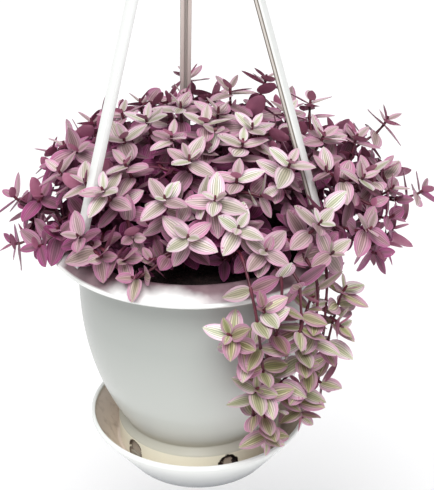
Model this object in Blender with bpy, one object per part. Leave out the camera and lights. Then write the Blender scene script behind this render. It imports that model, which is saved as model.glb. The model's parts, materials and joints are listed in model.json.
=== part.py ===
"""Turtle vine in a white hanging basket: a moulded pot with its saucer, three
hanger arms and their hook, the soil, and the leafy stems that grow out of it.

Heights count up from a level just below the pot's foot, and only the saucer's bowl
goes deeper. One empty carries it all down by SEAT_HEIGHT, so the world's origin is
where it hangs."""

import math
import random
from collections import namedtuple

import bmesh
import bpy
from mathutils import Matrix, Vector
from mathutils.bvhtree import BVHTree

# Driving sizes, in metres
CLEAR = 0.0003
WALL = 0.0020
SIDES = 30

COLLAR_RADIUS = 0.100
COLLAR_BEND = 0.0945
CREST_RADIUS = 0.087
COLLAR_INNER = 0.0815
CREST_HEIGHT = 0.1717
COLLAR_FALL = 47.3
COLLAR_DIP = 110.0
BODY_RADIUS = 0.0807
SHOULDER_HEIGHT = 0.130
WAIST_RADIUS = 0.0536
WAIST_HEIGHT = 0.025
BODY_CURVE = 2.3
FOOT_RADIUS = 0.0578
FOOT_TOP = 0.020

WINDOWS = 5
WINDOW_TURN = -70
WINDOW_WIDTH = 0.014
WINDOW_SILL = 0.008
WINDOW_SPRING = 0.0110

SAUCER_RADIUS = 0.0775
SAUCER_HEIGHT = 0.0252
SAUCER_BRIM = 0.0222
SAUCER_BASE = 0.0515
SAUCER_BOTTOM = -0.0116
SAUCER_FLOOR = -0.0094
SAUCER_WALL = 0.0026
LEDGE_HEIGHT = 0.0024
LEDGE_RADIUS = 0.0560
STUD_RADIUS = 0.0040
STUD_HEAD_RADIUS = 0.0055
STUD_HOLE_RADIUS = 0.0044

SOIL_HEIGHT = 0.160
SOIL_CROWN = 0.004
ROOT_DEPTH = 0.012

ARM_TURNS = (94.7, 214.7, 334.7)
ARM_APEX_HEIGHT = 0.482
ARM_FOOT_RADIUS = 0.0935
ARM_FOOT_HEIGHT = 0.1706
ARM_HEAD_RADIUS = 0.0080
ARM_WIDTH = 0.0075
ARM_DEPTH = 0.0047
TANG_THICKNESS = 0.0026
CROSSBAR_WIDTH = 0.011
GROOVE_WIDTH = 0.0022
GROOVE_DEPTH = 0.0020
GROOVE_TOP = 0.322
SLOT_GAP = 0.0003

HUB_RADIUS = 0.0135
HUB_HEIGHT = 0.4568
HUB_THICKNESS = 0.0030
HOOK_RADIUS = 0.0145
HOOK_WIRE = 0.0025
HOOK_CENTRE = 0.5035
SEAT_HEIGHT = HOOK_CENTRE + HOOK_RADIUS - HOOK_WIRE

# The mound of leaves: how far the tips of its shoots reach from its middle
MOUND_CENTRE = Vector((0.005, 0.008, 0.176))
REACH_LEFT = 0.122
REACH_RIGHT = 0.140
REACH_FRONT = 0.092
REACH_BACK = 0.112
REACH_UP = 0.076
MOUND_TIPS = 62
GOLDEN_TURN = math.pi * (3 - math.sqrt(5))

# Tips that stand out in the mound, and the stems of the bunch that trails over
# the rim: where each goes over in degrees, the lowest point of one that turns
# up again, its main tip, its side shoot's tip, and the height of its branch.
Trail = namedtuple("Trail", "turn low main_tip side_tip branch_height")
MARKED_TIPS = (
    (0.133, 0.045, 0.228), (-0.088, 0.020, 0.224), (0.023, 0.040, 0.256),
    (-0.008, 0.088, 0.247), (0.080, 0.050, 0.241), (0.050, 0.060, 0.254),
    (0.155, 0.010, 0.190), (-0.122, 0.000, 0.195), (-0.058, -0.057, 0.226),
    (-0.019, -0.070, 0.226), (0.012, -0.072, 0.226), (0.037, -0.018, 0.251),
    (0.060, -0.044, 0.237), (-0.005, -0.086, 0.207), (0.026, -0.083, 0.211),
    (0.043, -0.087, 0.197), (0.069, -0.072, 0.209), (0.111, -0.053, 0.194),
    (0.081, -0.076, 0.189), (0.131, -0.014, 0.205),
)
TRAILING_TIPS = (
    Trail(-69, None, (0.046, -0.100, 0.062), (0.037, -0.107, 0.109), 0.084),
    Trail(-45, None, (0.068, -0.085, 0.070), (0.085, -0.072, 0.086), 0.102),
    Trail(-57, None, (0.069, -0.091, 0.114), (0.062, -0.098, 0.140), 0.152),
    Trail(-38, (0.084, -0.070, 0.110), (0.096, -0.062, 0.156), (0.097, -0.070, 0.128), 0.135),
    Trail(-63, (0.046, -0.098, 0.120), (0.018, -0.110, 0.151), (0.042, -0.103, 0.166), 0.150),
)
TRAIL_RADIUS = 0.107

# Leaves and stems
STEM_CORNER = 0.00125
ROOT_CORNER = 0.00150
HOLE_CORNER = 0.00200
LEAF_KEEL = 0.0013
LEAF_OUTLINE = ((0.34, 0.92), (0.68, 0.86))
LEAF_BREADTH = 0.64
NODE_LENGTH = 0.0022
BRANCH_LENGTH = 0.0030
LONGEST_STEP = 0.044
PATH_STEPS = 48
JOINT_LENGTH = 0.0030
ROOM = 0.00035
STEM_ROOM = 0.00055
SHAKE = 0.0025

Pair = namedtuple("Pair", "from_tip side length lift")
MOUND_PAIRS = (
    Pair(0.0010, 1, 0.0105, 54),
    Pair(0.0032, 0, 0.0165, 24),
    Pair(0.0054, 1, 0.0190, 6),
    Pair(0.0130, 0, 0.0185, -4),
)
TRAIL_PAIRS = MOUND_PAIRS + (
    Pair(0.0270, 1, 0.0190, 12),
    Pair(0.0410, 0, 0.0185, 10),
    Pair(0.0640, 1, 0.0185, 10),
)
Leaf = namedtuple("Leaf", "root foot along right normal length width arch face")


def clear_scene():
    for item in list(bpy.data.objects):
        bpy.data.objects.remove(item, do_unlink=True)


def plain_material(name, colour, roughness):
    material = bpy.data.materials.new(name)
    material.use_nodes = True
    shader = material.node_tree.nodes["Principled BSDF"]
    shader.inputs["Base Color"].default_value = (*colour, 1.0)
    shader.inputs["Roughness"].default_value = roughness
    shader.inputs["Metallic"].default_value = 0.0
    return material


def add_object(name, mesh, basket, materials, smooth_angle=None):
    """A finished sub-part, carried by the basket's empty."""
    item = bpy.data.objects.new(name, mesh)
    bpy.context.collection.objects.link(item)
    item.parent = basket
    if not mesh.materials:
        for material in materials:
            mesh.materials.append(material)
    if smooth_angle is not None:
        mesh.shade_smooth()
        mesh.set_sharp_from_angle(angle=math.radians(smooth_angle))
    return item


def mesh_from(shape, name):
    mesh = bpy.data.meshes.new(name)
    shape.to_mesh(mesh)
    shape.free()
    return mesh


def turned(outline, name, sides=SIDES):
    """A closed solid turned about Z from an outline of (radius, height)."""
    shape = bmesh.new()
    points = [shape.verts.new((radius, 0, height)) for radius, height in outline]
    edges = []
    for start, end in zip(points, points[1:] + points[:1]):
        if start.co.x > 0 or end.co.x > 0:
            edges.append(shape.edges.new((start, end)))
    bmesh.ops.spin(
        shape, geom=points + edges, axis=(0, 0, 1), cent=(0, 0, 0),
        angle=2 * math.pi, steps=sides, use_merge=True,
    )
    bmesh.ops.remove_doubles(shape, verts=shape.verts, dist=1e-6)
    bmesh.ops.recalc_face_normals(shape, faces=shape.faces)
    return mesh_from(shape, name)


def add_prism(shape, outline, place, depth):
    """Adds an outline of (x, y), extruded along its own Z, to a bmesh."""
    face = shape.faces.new([shape.verts.new(place @ Vector((x, y, 0))) for x, y in outline])
    grown = bmesh.ops.extrude_face_region(shape, geom=[face])["geom"]
    moved = [item for item in grown if isinstance(item, bmesh.types.BMVert)]
    push = (place.to_3x3() @ Vector((0, 0, 1))).normalized() * depth
    bmesh.ops.translate(shape, verts=moved, vec=push)


def add_box(shape, low, high, place=Matrix()):
    """Adds a box between two corners, in the frame of place, to a bmesh."""
    size = Vector(high) - Vector(low)
    outline = ((0, 0), (size.x, 0), (size.x, size.y), (0, size.y))
    add_prism(shape, outline, place @ Matrix.Translation(low), size.z)


def combined(mesh, tool_shape, operation):
    """The mesh after one exact Boolean with a tool shape, which is then dropped."""
    bmesh.ops.recalc_face_normals(tool_shape, faces=tool_shape.faces)
    body = bpy.data.objects.new("body", mesh)
    tool = bpy.data.objects.new("tool", mesh_from(tool_shape, "tool"))
    for item in (body, tool):
        bpy.context.collection.objects.link(item)
    boolean = body.modifiers.new("cut", "BOOLEAN")
    boolean.operation = operation
    boolean.object = tool
    bpy.context.view_layer.update()
    graph = bpy.context.evaluated_depsgraph_get()
    result = bpy.data.meshes.new_from_object(body.evaluated_get(graph))
    result.name = mesh.name
    for item in (body, tool):
        bpy.data.objects.remove(item, do_unlink=True)
    return result


def around(turn_degrees):
    return Matrix.Rotation(math.radians(turn_degrees), 4, "Z")


# Pot and saucer
def collar_top(radius):
    fall = COLLAR_FALL if radius > CREST_RADIUS else COLLAR_DIP
    return CREST_HEIGHT - fall * (radius - CREST_RADIUS) ** 2


def body_radius(height):
    """Outer radius of the pot's body, from the waist up."""
    left = max(0.0, (SHOULDER_HEIGHT - height) / (SHOULDER_HEIGHT - WAIST_HEIGHT))
    return BODY_RADIUS - (BODY_RADIUS - WAIST_RADIUS) * left ** BODY_CURVE


OUTSIDE_HEIGHTS = (WAIST_HEIGHT, 0.040, 0.060, 0.088, SHOULDER_HEIGHT)
INSIDE_HEIGHTS = (WAIST_HEIGHT, 0.060, SHOULDER_HEIGHT)


def body_outline(heights, inset):
    """The waist and body, bottom to top, moved in by inset."""
    return [(body_radius(height) - inset, height) for height in heights]


POT_BOTTOM = LEDGE_HEIGHT + CLEAR
POT_FLOOR = POT_BOTTOM + WALL


def pot_mesh():
    top_radii = (COLLAR_RADIUS, COLLAR_BEND, CREST_RADIUS, COLLAR_INNER)
    under_radii = (BODY_RADIUS + 0.0023, CREST_RADIUS, COLLAR_BEND)
    outline = [(STUD_HOLE_RADIUS, POT_BOTTOM), (FOOT_RADIUS - 0.001, POT_BOTTOM)]
    outline += [(FOOT_RADIUS, POT_BOTTOM + 0.001), (FOOT_RADIUS, FOOT_TOP)]
    outline += body_outline(OUTSIDE_HEIGHTS, 0)
    outline.append((BODY_RADIUS, collar_top(under_radii[0]) - WALL - 0.0015))
    outline += [(radius, collar_top(radius) - WALL) for radius in under_radii]
    outline.append((COLLAR_RADIUS - 0.0010, collar_top(COLLAR_RADIUS) - 0.0020))
    outline += [(radius, collar_top(radius)) for radius in top_radii]
    outline.append((BODY_RADIUS - WALL, collar_top(COLLAR_INNER) - 0.0020))
    outline += reversed(body_outline(INSIDE_HEIGHTS, WALL))
    outline += [(FOOT_RADIUS - WALL, FOOT_TOP - 0.0005), (FOOT_RADIUS - WALL, POT_FLOOR)]
    outline.append((STUD_HOLE_RADIUS, POT_FLOOR))
    mesh = turned(outline, "pot")

    cuts = bmesh.new()
    half = WINDOW_WIDTH / 2
    arch = [(-half, WINDOW_SILL), (half, WINDOW_SILL)]
    for step in range(5):
        angle = math.pi * step / 4
        arch.append((half * math.cos(angle), WINDOW_SPRING + half * math.sin(angle)))
    across_wall = 0.008
    upright = Matrix(((0, 0, 1, FOOT_RADIUS - 0.005), (1, 0, 0, 0), (0, 1, 0, 0), (0, 0, 0, 1)))
    for window in range(WINDOWS):
        place = around(WINDOW_TURN + window * 360 / WINDOWS) @ upright
        add_prism(cuts, arch, place, across_wall)
    for turn in ARM_TURNS:
        add_slot(cuts, turn, ARM_FOOT_RADIUS, CREST_HEIGHT - 0.015, CREST_HEIGHT + 0.005)
    return combined(mesh, cuts, "DIFFERENCE")


def add_slot(cuts, turn, radius, low, high):
    """The slot that an arm's tang goes through."""
    half_width = ARM_WIDTH / 2 + SLOT_GAP
    half_depth = TANG_THICKNESS / 2 + SLOT_GAP
    corner = (radius + half_depth, half_width, high)
    add_box(cuts, (radius - half_depth, -half_width, low), corner, around(turn))


def saucer_wall(height):
    """Radius of the saucer's flared wall, outside."""
    rise = (height - SAUCER_BOTTOM) / (SAUCER_BRIM - SAUCER_BOTTOM)
    return SAUCER_BASE + (SAUCER_RADIUS - SAUCER_BASE) * rise


def saucer_mesh():
    """A flared bowl. The pot's foot stands on a ledge in it, over a well for water."""
    lip_inside = SAUCER_RADIUS - SAUCER_WALL
    outline = [(0, SAUCER_BOTTOM), (SAUCER_BASE, SAUCER_BOTTOM), (SAUCER_RADIUS, SAUCER_BRIM)]
    outline += [(SAUCER_RADIUS - 0.0006, SAUCER_HEIGHT), (lip_inside, SAUCER_HEIGHT)]
    outline += [(lip_inside, SAUCER_BRIM), (saucer_wall(LEDGE_HEIGHT) - SAUCER_WALL, LEDGE_HEIGHT)]
    outline += [(LEDGE_RADIUS, LEDGE_HEIGHT), (saucer_wall(SAUCER_FLOOR) - SAUCER_WALL, SAUCER_FLOOR)]
    outline.append((STUD_RADIUS, SAUCER_FLOOR))
    head_bottom = POT_FLOOR + CLEAR
    outline += [(STUD_RADIUS, head_bottom), (STUD_HEAD_RADIUS, head_bottom)]
    outline += [(STUD_HEAD_RADIUS, head_bottom + 0.001), (0.0038, head_bottom + 0.0025)]
    outline.append((0, head_bottom + 0.0025))
    return turned(outline, "saucer")


# Soil, with a plain hole for each stem
def soil_top(x, y):
    """Height of the soil's surface, which is crowned a little."""
    share = min(1.0, math.hypot(x, y) / (BODY_RADIUS - WALL))
    return SOIL_HEIGHT + SOIL_CROWN * (1 - share)


def soil_mesh(stems):
    gap = WALL + CLEAR
    pocket_radius = STUD_HEAD_RADIUS + 0.0008
    pocket_top = POT_FLOOR + 0.0045
    foot = FOOT_RADIUS - gap
    outline = [(0, pocket_top), (pocket_radius, pocket_top), (pocket_radius, POT_FLOOR + CLEAR)]
    outline += [(foot, POT_FLOOR + CLEAR), (foot, FOOT_TOP - 0.001)]
    outline += body_outline(INSIDE_HEIGHTS, gap)
    outline += [(BODY_RADIUS - gap, SOIL_HEIGHT), (0, soil_top(0, 0))]
    mesh = turned(outline, "soil")
    holes = bmesh.new()
    for stem in stems:
        across, over, along = stem.shoots[0].frames[0]
        place = Matrix((across, over, along)).transposed().to_4x4()
        place.translation = stem.shoots[0].points[0] - along * CLEAR
        half = HOLE_CORNER / math.sqrt(2)
        square = ((-half, -half), (half, -half), (half, half), (-half, half))
        add_prism(holes, square, place, ROOT_DEPTH + 0.008)
    return combined(mesh, holes, "DIFFERENCE")


# Hanger arms, hub and hook
def arm_radius(height):
    """Distance of an arm's middle from the basket's axis."""
    slope = ARM_FOOT_RADIUS / (ARM_APEX_HEIGHT - ARM_FOOT_HEIGHT)
    return (ARM_APEX_HEIGHT - height) * slope


def arm_height(radius):
    slope = ARM_FOOT_RADIUS / (ARM_APEX_HEIGHT - ARM_FOOT_HEIGHT)
    return ARM_APEX_HEIGHT - radius / slope


def arm_mesh():
    """A channel from the collar to the hub, in the X-Z plane, with a crossbar at each end."""
    half_depth = ARM_DEPTH / 2
    half_tang = TANG_THICKNESS / 2
    under_collar = ARM_FOOT_RADIUS + half_tang + CLEAR * 2
    foot_top = collar_top(under_collar) - WALL - CLEAR
    head_bottom = HUB_HEIGHT + HUB_THICKNESS + CLEAR
    beam_top = arm_height(ARM_HEAD_RADIUS)
    middle = (
        (foot_top - TANG_THICKNESS / 2, ARM_FOOT_RADIUS, half_tang),
        (ARM_FOOT_HEIGHT, ARM_FOOT_RADIUS, half_tang),
        (ARM_FOOT_HEIGHT + 0.0010, arm_radius(ARM_FOOT_HEIGHT + 0.0010), half_depth),
        (beam_top - 0.0010, arm_radius(beam_top - 0.0010), half_depth),
        (beam_top, ARM_HEAD_RADIUS, half_tang),
        (head_bottom + TANG_THICKNESS / 2, ARM_HEAD_RADIUS, half_tang),
    )
    outline = [(radius + half, height) for height, radius, half in middle]
    outline += [(radius - half, height) for height, radius, half in reversed(middle)]
    beam = bmesh.new()
    on_side = Matrix(((1, 0, 0, 0), (0, 0, -1, ARM_WIDTH / 2), (0, 1, 0, 0), (0, 0, 0, 1)))
    add_prism(beam, outline, on_side, ARM_WIDTH)
    bmesh.ops.recalc_face_normals(beam, faces=beam.faces)
    mesh = mesh_from(beam, "arm")

    bars = bmesh.new()
    for radius, bottom in ((ARM_FOOT_RADIUS, foot_top - TANG_THICKNESS), (ARM_HEAD_RADIUS, head_bottom)):
        low = (radius - half_tang, -CROSSBAR_WIDTH / 2, bottom)
        high = (radius + half_tang, CROSSBAR_WIDTH / 2, bottom + TANG_THICKNESS)
        add_box(bars, low, high)
    mesh = combined(mesh, bars, "UNION")

    groove = bmesh.new()
    bottom = ARM_FOOT_HEIGHT + 0.004
    floor = GROOVE_DEPTH - half_depth
    outline = [(arm_radius(bottom) - 0.006, bottom), (arm_radius(bottom) + floor, bottom)]
    outline += [(arm_radius(GROOVE_TOP) + floor, GROOVE_TOP)]
    outline += [(arm_radius(GROOVE_TOP) - 0.006, GROOVE_TOP)]
    in_middle = Matrix(((1, 0, 0, 0), (0, 0, -1, GROOVE_WIDTH / 2), (0, 1, 0, 0), (0, 0, 0, 1)))
    add_prism(groove, outline, in_middle, GROOVE_WIDTH)
    return combined(mesh, groove, "DIFFERENCE")


def hook_route():
    """The middle of the hook's bar: up the shank, aside, and round to the mouth."""
    centre = Vector((0, 0, HOOK_CENTRE))
    shank_top = Vector((0, 0, HOOK_CENTRE - HOOK_RADIUS - 0.008))
    first, last = math.radians(-50), math.radians(205)
    arc = []
    for step in range(10):
        angle = first + (last - first) * step / 9
        arc.append(centre + Vector((math.cos(angle), 0, math.sin(angle))) * HOOK_RADIUS)
    joining = smooth_path([shank_top, arc[0]], Vector((0, 0, 1.3)), (arc[1] - arc[0]).normalized(), 4)
    return [Vector((0, 0, HUB_HEIGHT + HUB_THICKNESS / 2))] + joining + arc[1:]


def hook_mesh():
    top = HUB_HEIGHT + HUB_THICKNESS
    outline = [(0, HUB_HEIGHT), (HUB_RADIUS - 0.001, HUB_HEIGHT), (HUB_RADIUS, HUB_HEIGHT + 0.001)]
    outline += [(HUB_RADIUS, top), (0.0058, top), (0.0046, top + 0.004), (0.0032, top + 0.010)]
    outline.append((0, top + 0.010))
    mesh = turned(outline, "hook", sides=16)
    slots = bmesh.new()
    for turn in ARM_TURNS:
        add_slot(slots, turn, ARM_HEAD_RADIUS, HUB_HEIGHT - 0.003, top + 0.003)
    mesh = combined(mesh, slots, "DIFFERENCE")

    bar = bmesh.new()
    sections = []
    route = hook_route()
    for (across, over, along), point in zip(frames_along(route, Vector((0, 1, 0))), route):
        section = []
        for side in range(8):
            angle = math.radians(45 * side)
            spoke = across * math.cos(angle) + over * math.sin(angle)
            section.append(bar.verts.new(point + spoke * HOOK_WIRE))
        sections.append(section)
    for below, above in zip(sections, sections[1:]):
        for side in range(8):
            follow = (side + 1) % 8
            bar.faces.new((below[side], below[follow], above[follow], above[side]))
    bar.faces.new(sections[0])
    bar.faces.new(sections[-1])
    return combined(mesh, bar, "UNION")


# Paths and frames
def smooth_path(points, first_pull, last_pull, steps):
    """A smooth curve through points. The pulls are its directions at the two
    ends, and their lengths say how far each end keeps its direction."""
    pulls = [first_pull * (points[1] - points[0]).length]
    for before, after in zip(points, points[2:]):
        pulls.append((after - before) / 2)
    pulls.append(last_pull * (points[-1] - points[-2]).length)
    path = [points[0].copy()]
    for index in range(len(points) - 1):
        start, end = points[index], points[index + 1]
        leave, arrive = pulls[index], pulls[index + 1]
        for step in range(1, steps + 1):
            t = step / steps
            path.append(
                start * (2 * t**3 - 3 * t**2 + 1) + leave * (t**3 - 2 * t**2 + t)
                + end * (3 * t**2 - 2 * t**3) + arrive * (t**3 - t**2)
            )
    return path


def path_length(path):
    return sum((end - start).length for start, end in zip(path, path[1:]))


def point_from_tip(path, distance):
    """The point on a path that lies a distance back from its end."""
    for end, start in zip(reversed(path), reversed(path[:-1])):
        step = (end - start).length
        if distance <= step:
            return end.lerp(start, distance / step)
        distance -= step
    return path[0].copy()


def frames_along(points, across):
    """A frame of three directions at each point, carried along without twist."""
    frames = []
    for index in range(len(points)):
        before = points[max(index - 1, 0)]
        after = points[min(index + 1, len(points) - 1)]
        along = (after - before).normalized()
        across = (across - along * across.dot(along)).normalized()
        frames.append((across, along.cross(across), along))
    return frames


# Room that is taken, so that nothing grows through anything else
Piece = namedtuple("Piece", "owner centre reach tree corners")


def piece_of(owner, points, faces):
    """A closed mesh that takes up room, with what it belongs to."""
    centre = sum(points, Vector()) / len(points)
    reach = max((point - centre).length for point in points)
    keys = [tuple(round(value, 7) for value in point) for point in points]
    corners = [{keys[number] for number in face} for face in faces]
    return Piece(owner, centre, reach, BVHTree.FromPolygons(points, faces), corners)


def meet(one, other, joined=False):
    """Whether two pieces meet, not counting the faces that share a corner if they are joined."""
    if (one.centre - other.centre).length > one.reach + other.reach:
        return False
    pairs = one.tree.overlap(other.tree)
    if joined:
        return any(one.corners[here].isdisjoint(other.corners[there]) for here, there in pairs)
    return bool(pairs)


def has_room(piece, taken):
    """Whether a piece meets nothing but what has the same owner."""
    return not any(meet(piece, other) for other in taken if other.owner != piece.owner)


def crosses_own(piece, taken):
    """Whether a piece runs through its owner's other pieces, or through itself."""
    own = [other for other in taken if other.owner == piece.owner]
    return any(meet(piece, other, joined=True) for other in own + [piece])


def ring_walls(a, b, without=()):
    """The faces between two rings of four corners, two a side, some sides left out."""
    sides = (
        ((a[0], a[1], b[1]), (a[0], b[1], b[0])),
        ((a[1], a[2], b[2]), (a[1], b[2], b[1])),
        ((a[2], a[3], b[2]), (a[3], b[3], b[2])),
        ((a[3], a[0], b[0]), (a[3], b[0], b[3])),
    )
    return [face for side in range(4) if side not in without for face in sides[side]]


def turned_guard(outline):
    """Points and faces of a plain shell about Z, wider than the piece it guards."""
    points = []
    faces = []
    sides = 24
    for turn in range(sides):
        angle = 2 * math.pi * turn / sides
        points += [Vector((r * math.cos(angle), r * math.sin(angle), z)) for r, z in outline]
    count = len(outline)
    for turn in range(sides):
        here, there = turn * count, (turn + 1) % sides * count
        for low in range(count - 1):
            faces.append((here + low, there + low, there + low + 1, here + low + 1))
    return points, faces


def guards():
    """What the stems have to keep clear of: pot, saucer and arms."""
    taken = []
    inside = BODY_RADIUS - WALL - 0.0008
    pot = [(inside, SOIL_HEIGHT - 0.002), (inside, CREST_HEIGHT - 0.002)]
    pot += [(CREST_RADIUS, CREST_HEIGHT + 0.0015), (0.094, CREST_HEIGHT - 0.0005)]
    pot += [(COLLAR_RADIUS + 0.0022, 0.1645), (COLLAR_RADIUS + 0.0012, 0.1605)]
    pot += [(BODY_RADIUS + 0.0015, 0.1605), (BODY_RADIUS + 0.0015, 0.120)]
    pot += [(0.0790, 0.086), (0.0690, 0.052), (0.0590, WAIST_HEIGHT), (0.0590, 0.004)]
    taken.append(piece_of("pot", *turned_guard(pot)))
    lip = SAUCER_RADIUS + 0.0011
    saucer = [(0.060, 0.003), (lip, SAUCER_HEIGHT + 0.001), (lip, 0.018), (0.068, 0.0)]
    taken.append(piece_of("saucer", *turned_guard(saucer)))
    foot, head = ARM_FOOT_HEIGHT - 0.009, ARM_APEX_HEIGHT - 0.030
    for turn in ARM_TURNS:
        points = []
        widths = (CROSSBAR_WIDTH, CROSSBAR_WIDTH, ARM_WIDTH, ARM_WIDTH)
        for height, wide in zip((foot, foot + 0.006, foot + 0.007, head), widths):
            middle = arm_radius(height)
            deep = ARM_DEPTH / 2 + 0.0005
            half = wide / 2 + 0.0005
            for x, y in ((-deep, -half), (deep, -half), (deep, half), (-deep, half)):
                points.append(around(turn) @ Vector((middle + x, y, height)))
        faces = []
        for first in (0, 4, 8):
            faces += ring_walls(range(first, first + 4), range(first + 4, first + 8))
        taken.append(piece_of("arm", points, faces))
    return taken


# One shoot: a four-sided stem with pairs of leaves on its sides
class Shoot:
    """Rings along a path, with one more pair of rings at each pair of leaves."""

    def __init__(self, path, across, pairs, branch_from_tip=None, straight=0.0):
        length = path_length(path)
        self.pairs = [pair for pair in pairs if self.has_place(pair, length - straight, branch_from_tip)]
        marks = [0.0, length, length - straight]
        for pair in self.pairs:
            marks += [pair.from_tip, pair.from_tip + NODE_LENGTH]
        if branch_from_tip is not None:
            marks += [branch_from_tip, branch_from_tip + BRANCH_LENGTH]
        marks = sorted({round(mark, 6) for mark in marks}, reverse=True)
        for start, end in list(zip(marks, marks[1:])):
            steps = math.ceil((start - end) / LONGEST_STEP)
            marks += [start + (end - start) * step / steps for step in range(1, steps)]
        self.marks = sorted(marks, reverse=True)
        self.points = [point_from_tip(path, mark) for mark in self.marks]
        self.frames = frames_along(self.points, across)
        self.branch = None
        if branch_from_tip is not None:
            self.branch = self.ring_at(branch_from_tip + BRANCH_LENGTH)
        self.leaves = {}

    @staticmethod
    def has_place(pair, length, branch_from_tip):
        """Whether a pair stands clear of the shoot's start and of its branch."""
        if pair.from_tip + NODE_LENGTH + 0.004 > length:
            return False
        return branch_from_tip is None or abs(pair.from_tip - branch_from_tip) > 0.006

    def ring_at(self, from_tip):
        return min(range(len(self.marks)), key=lambda index: abs(self.marks[index] - from_tip))

    def corners(self, index, grow=0.0):
        """The four corners of one ring. The last ring is the tip, one point."""
        across, over, _ = self.frames[index]
        share = self.marks[index] / self.marks[0]
        corner = STEM_CORNER + (ROOT_CORNER - STEM_CORNER) * share + grow
        ring = []
        for turn in (225, 315, 45, 135):
            angle = math.radians(turn)
            spoke = across * math.cos(angle) + over * math.sin(angle)
            ring.append(self.points[index] + spoke * corner)
        return ring

    def tube(self, grow=0.0):
        """Points and faces of the bare stem."""
        points = []
        faces = [(3, 2, 1, 0)]
        for index in range(len(self.points) - 1):
            points += self.corners(index, grow)
            if index:
                faces += ring_walls(range(4 * index - 4, 4 * index), range(4 * index, 4 * index + 4))
        last = len(points) - 4
        points.append(self.points[-1] + self.frames[-1][2] * grow)
        faces += [(last + side, last + (side + 1) % 4, last + 4) for side in range(4)]
        return points, faces

    def side_directions(self, index, side):
        """Outward, and to the right seen from outside, on one side of the stem."""
        across, over, _ = self.frames[index]
        return ((-over, across), (across, over), (over, -across), (-across, -over))[side]


def blade_curve(leaf, share):
    """Middle of the blade at a share of its length, and the blade's upright there."""
    bend = leaf.arch * share
    middle = leaf.foot + leaf.along * (leaf.length * share) - leaf.normal * (leaf.length * bend * share)
    upright = (leaf.normal + leaf.along * (2 * bend)).normalized()
    return middle, upright


def blade_ring(leaf, share, half_width, grow):
    """Left edge, right edge and keel of the blade at a share of its length."""
    middle, upright = blade_curve(leaf, share)
    keel = LEAF_KEEL * leaf.face
    aside = leaf.right * (half_width + grow)
    lift = upright * (grow * leaf.face)
    return [middle - aside + lift, middle + aside + lift, middle - upright * keel - lift]


def blade(leaf, grow=0.0):
    """Points and faces of a leaf's blade: two rings, the tip, and the root's four corners."""
    points = []
    for share, breadth in LEAF_OUTLINE:
        points += blade_ring(leaf, share, breadth * leaf.width / 2, grow)
    middle, _ = blade_curve(leaf, 1.0)
    points.append(middle + leaf.along * grow)
    # On an upright leaf the edges are above the keel, else below it.
    if leaf.face > 0:
        left, right, keel = 0, 1, 2
        faces = [(9, 10, 0), (9, 0, 1), (8, 9, 1), (8, 1, 2), (10, 7, 0), (7, 2, 0), (7, 8, 2)]
    else:
        left, right, keel = 1, 0, 2
        faces = [(7, 8, 1), (7, 1, 0), (10, 7, 0), (10, 0, 2), (8, 9, 1), (9, 2, 1), (9, 10, 2)]
    faces += [(right, left, left + 3), (right, left + 3, right + 3), (keel, right, right + 3)]
    faces += [(keel, right + 3, keel + 3), (left, keel, keel + 3), (left, keel + 3, left + 3)]
    faces += [(right + 3, left + 3, 6), (keel + 3, right + 3, 6), (left + 3, keel + 3, 6)]
    return points + leaf.root, faces


def light_at(point):
    """Where the light comes from for a leaf: outwards and up, and more outwards below the rim."""
    outward = Vector((point.x, point.y, 0)) * (6 if point.z > CREST_HEIGHT else 13)
    return (outward + Vector((0, 0, 1))).normalized()


def try_leaf(shoot, ring, side, pair, chance, attempt):
    """One way for a leaf to stand on a side of the stem, wilder with each attempt."""
    outward, right = shoot.side_directions(ring, side)
    along_stem = shoot.frames[ring][2]
    root = [shoot.corners(ring)[side], shoot.corners(ring)[(side + 1) % 4]]
    root += [shoot.corners(ring + 1)[(side + 1) % 4], shoot.corners(ring + 1)[side]]
    foot = sum(root, Vector()) / 4
    wild = 1 + attempt * 0.22
    lift = math.radians(pair.lift + chance.gauss(0, 7) * wild)
    swing = math.radians(chance.gauss(0, 9) * wild)
    along = outward * math.cos(lift) + along_stem * math.sin(lift)
    normal = along_stem * math.cos(lift) - outward * math.sin(lift)
    turn = Matrix.Rotation(swing, 3, normal)
    along, right = turn @ along, turn @ right
    light = light_at(foot)
    face = 1 if normal.dot(light) >= -0.15 else -1
    tilt = math.atan2(light.dot(right) * face, abs(light.dot(normal)) + 0.4)
    tilt = max(-0.6, min(0.6, tilt * 0.6 + chance.gauss(0, 0.12) * wild))
    roll = Matrix.Rotation(-tilt * face, 3, along)
    if (roll @ normal).dot(light) * face < normal.dot(light) * face:
        roll = Matrix.Rotation(tilt * face, 3, along)
    normal, right = roll @ normal, roll @ right
    size = pair.length * chance.uniform(0.88, 1.08) * (1 - 0.035 * max(0, attempt - 4))
    arch = chance.uniform(0.04, 0.20) * face
    return Leaf(root, foot, along, right, normal, size, size * LEAF_BREADTH, arch, face)


STEM_ATTEMPTS = 150
LEAF_ATTEMPTS = 20


def add_leaves(name, shoot, taken, seed):
    """Gives a shoot its pairs of leaves, each turned until it has room."""
    for level, pair in enumerate(shoot.pairs):
        ring = shoot.ring_at(pair.from_tip + NODE_LENGTH)
        for side in (pair.side, pair.side + 2):
            chance = random.Random(f"{seed} {level} {side}")
            for attempt in range(LEAF_ATTEMPTS):
                leaf = try_leaf(shoot, ring, side, pair, chance, attempt)
                bare = piece_of(name, *blade(leaf))
                wide = piece_of(name, *blade(leaf, ROOM))
                if crosses_own(bare, taken) or not (has_room(bare, taken) and has_room(wide, taken)):
                    continue
                shoot.leaves[ring, side] = leaf
                taken.append(bare)
                break


class Stem:
    """A main shoot out of the soil, and one side shoot on it."""

    def __init__(self, name, main, side_shoot, branch_side):
        self.name = name
        self.shoots = [main, side_shoot]
        self.branch_side = branch_side


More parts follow.
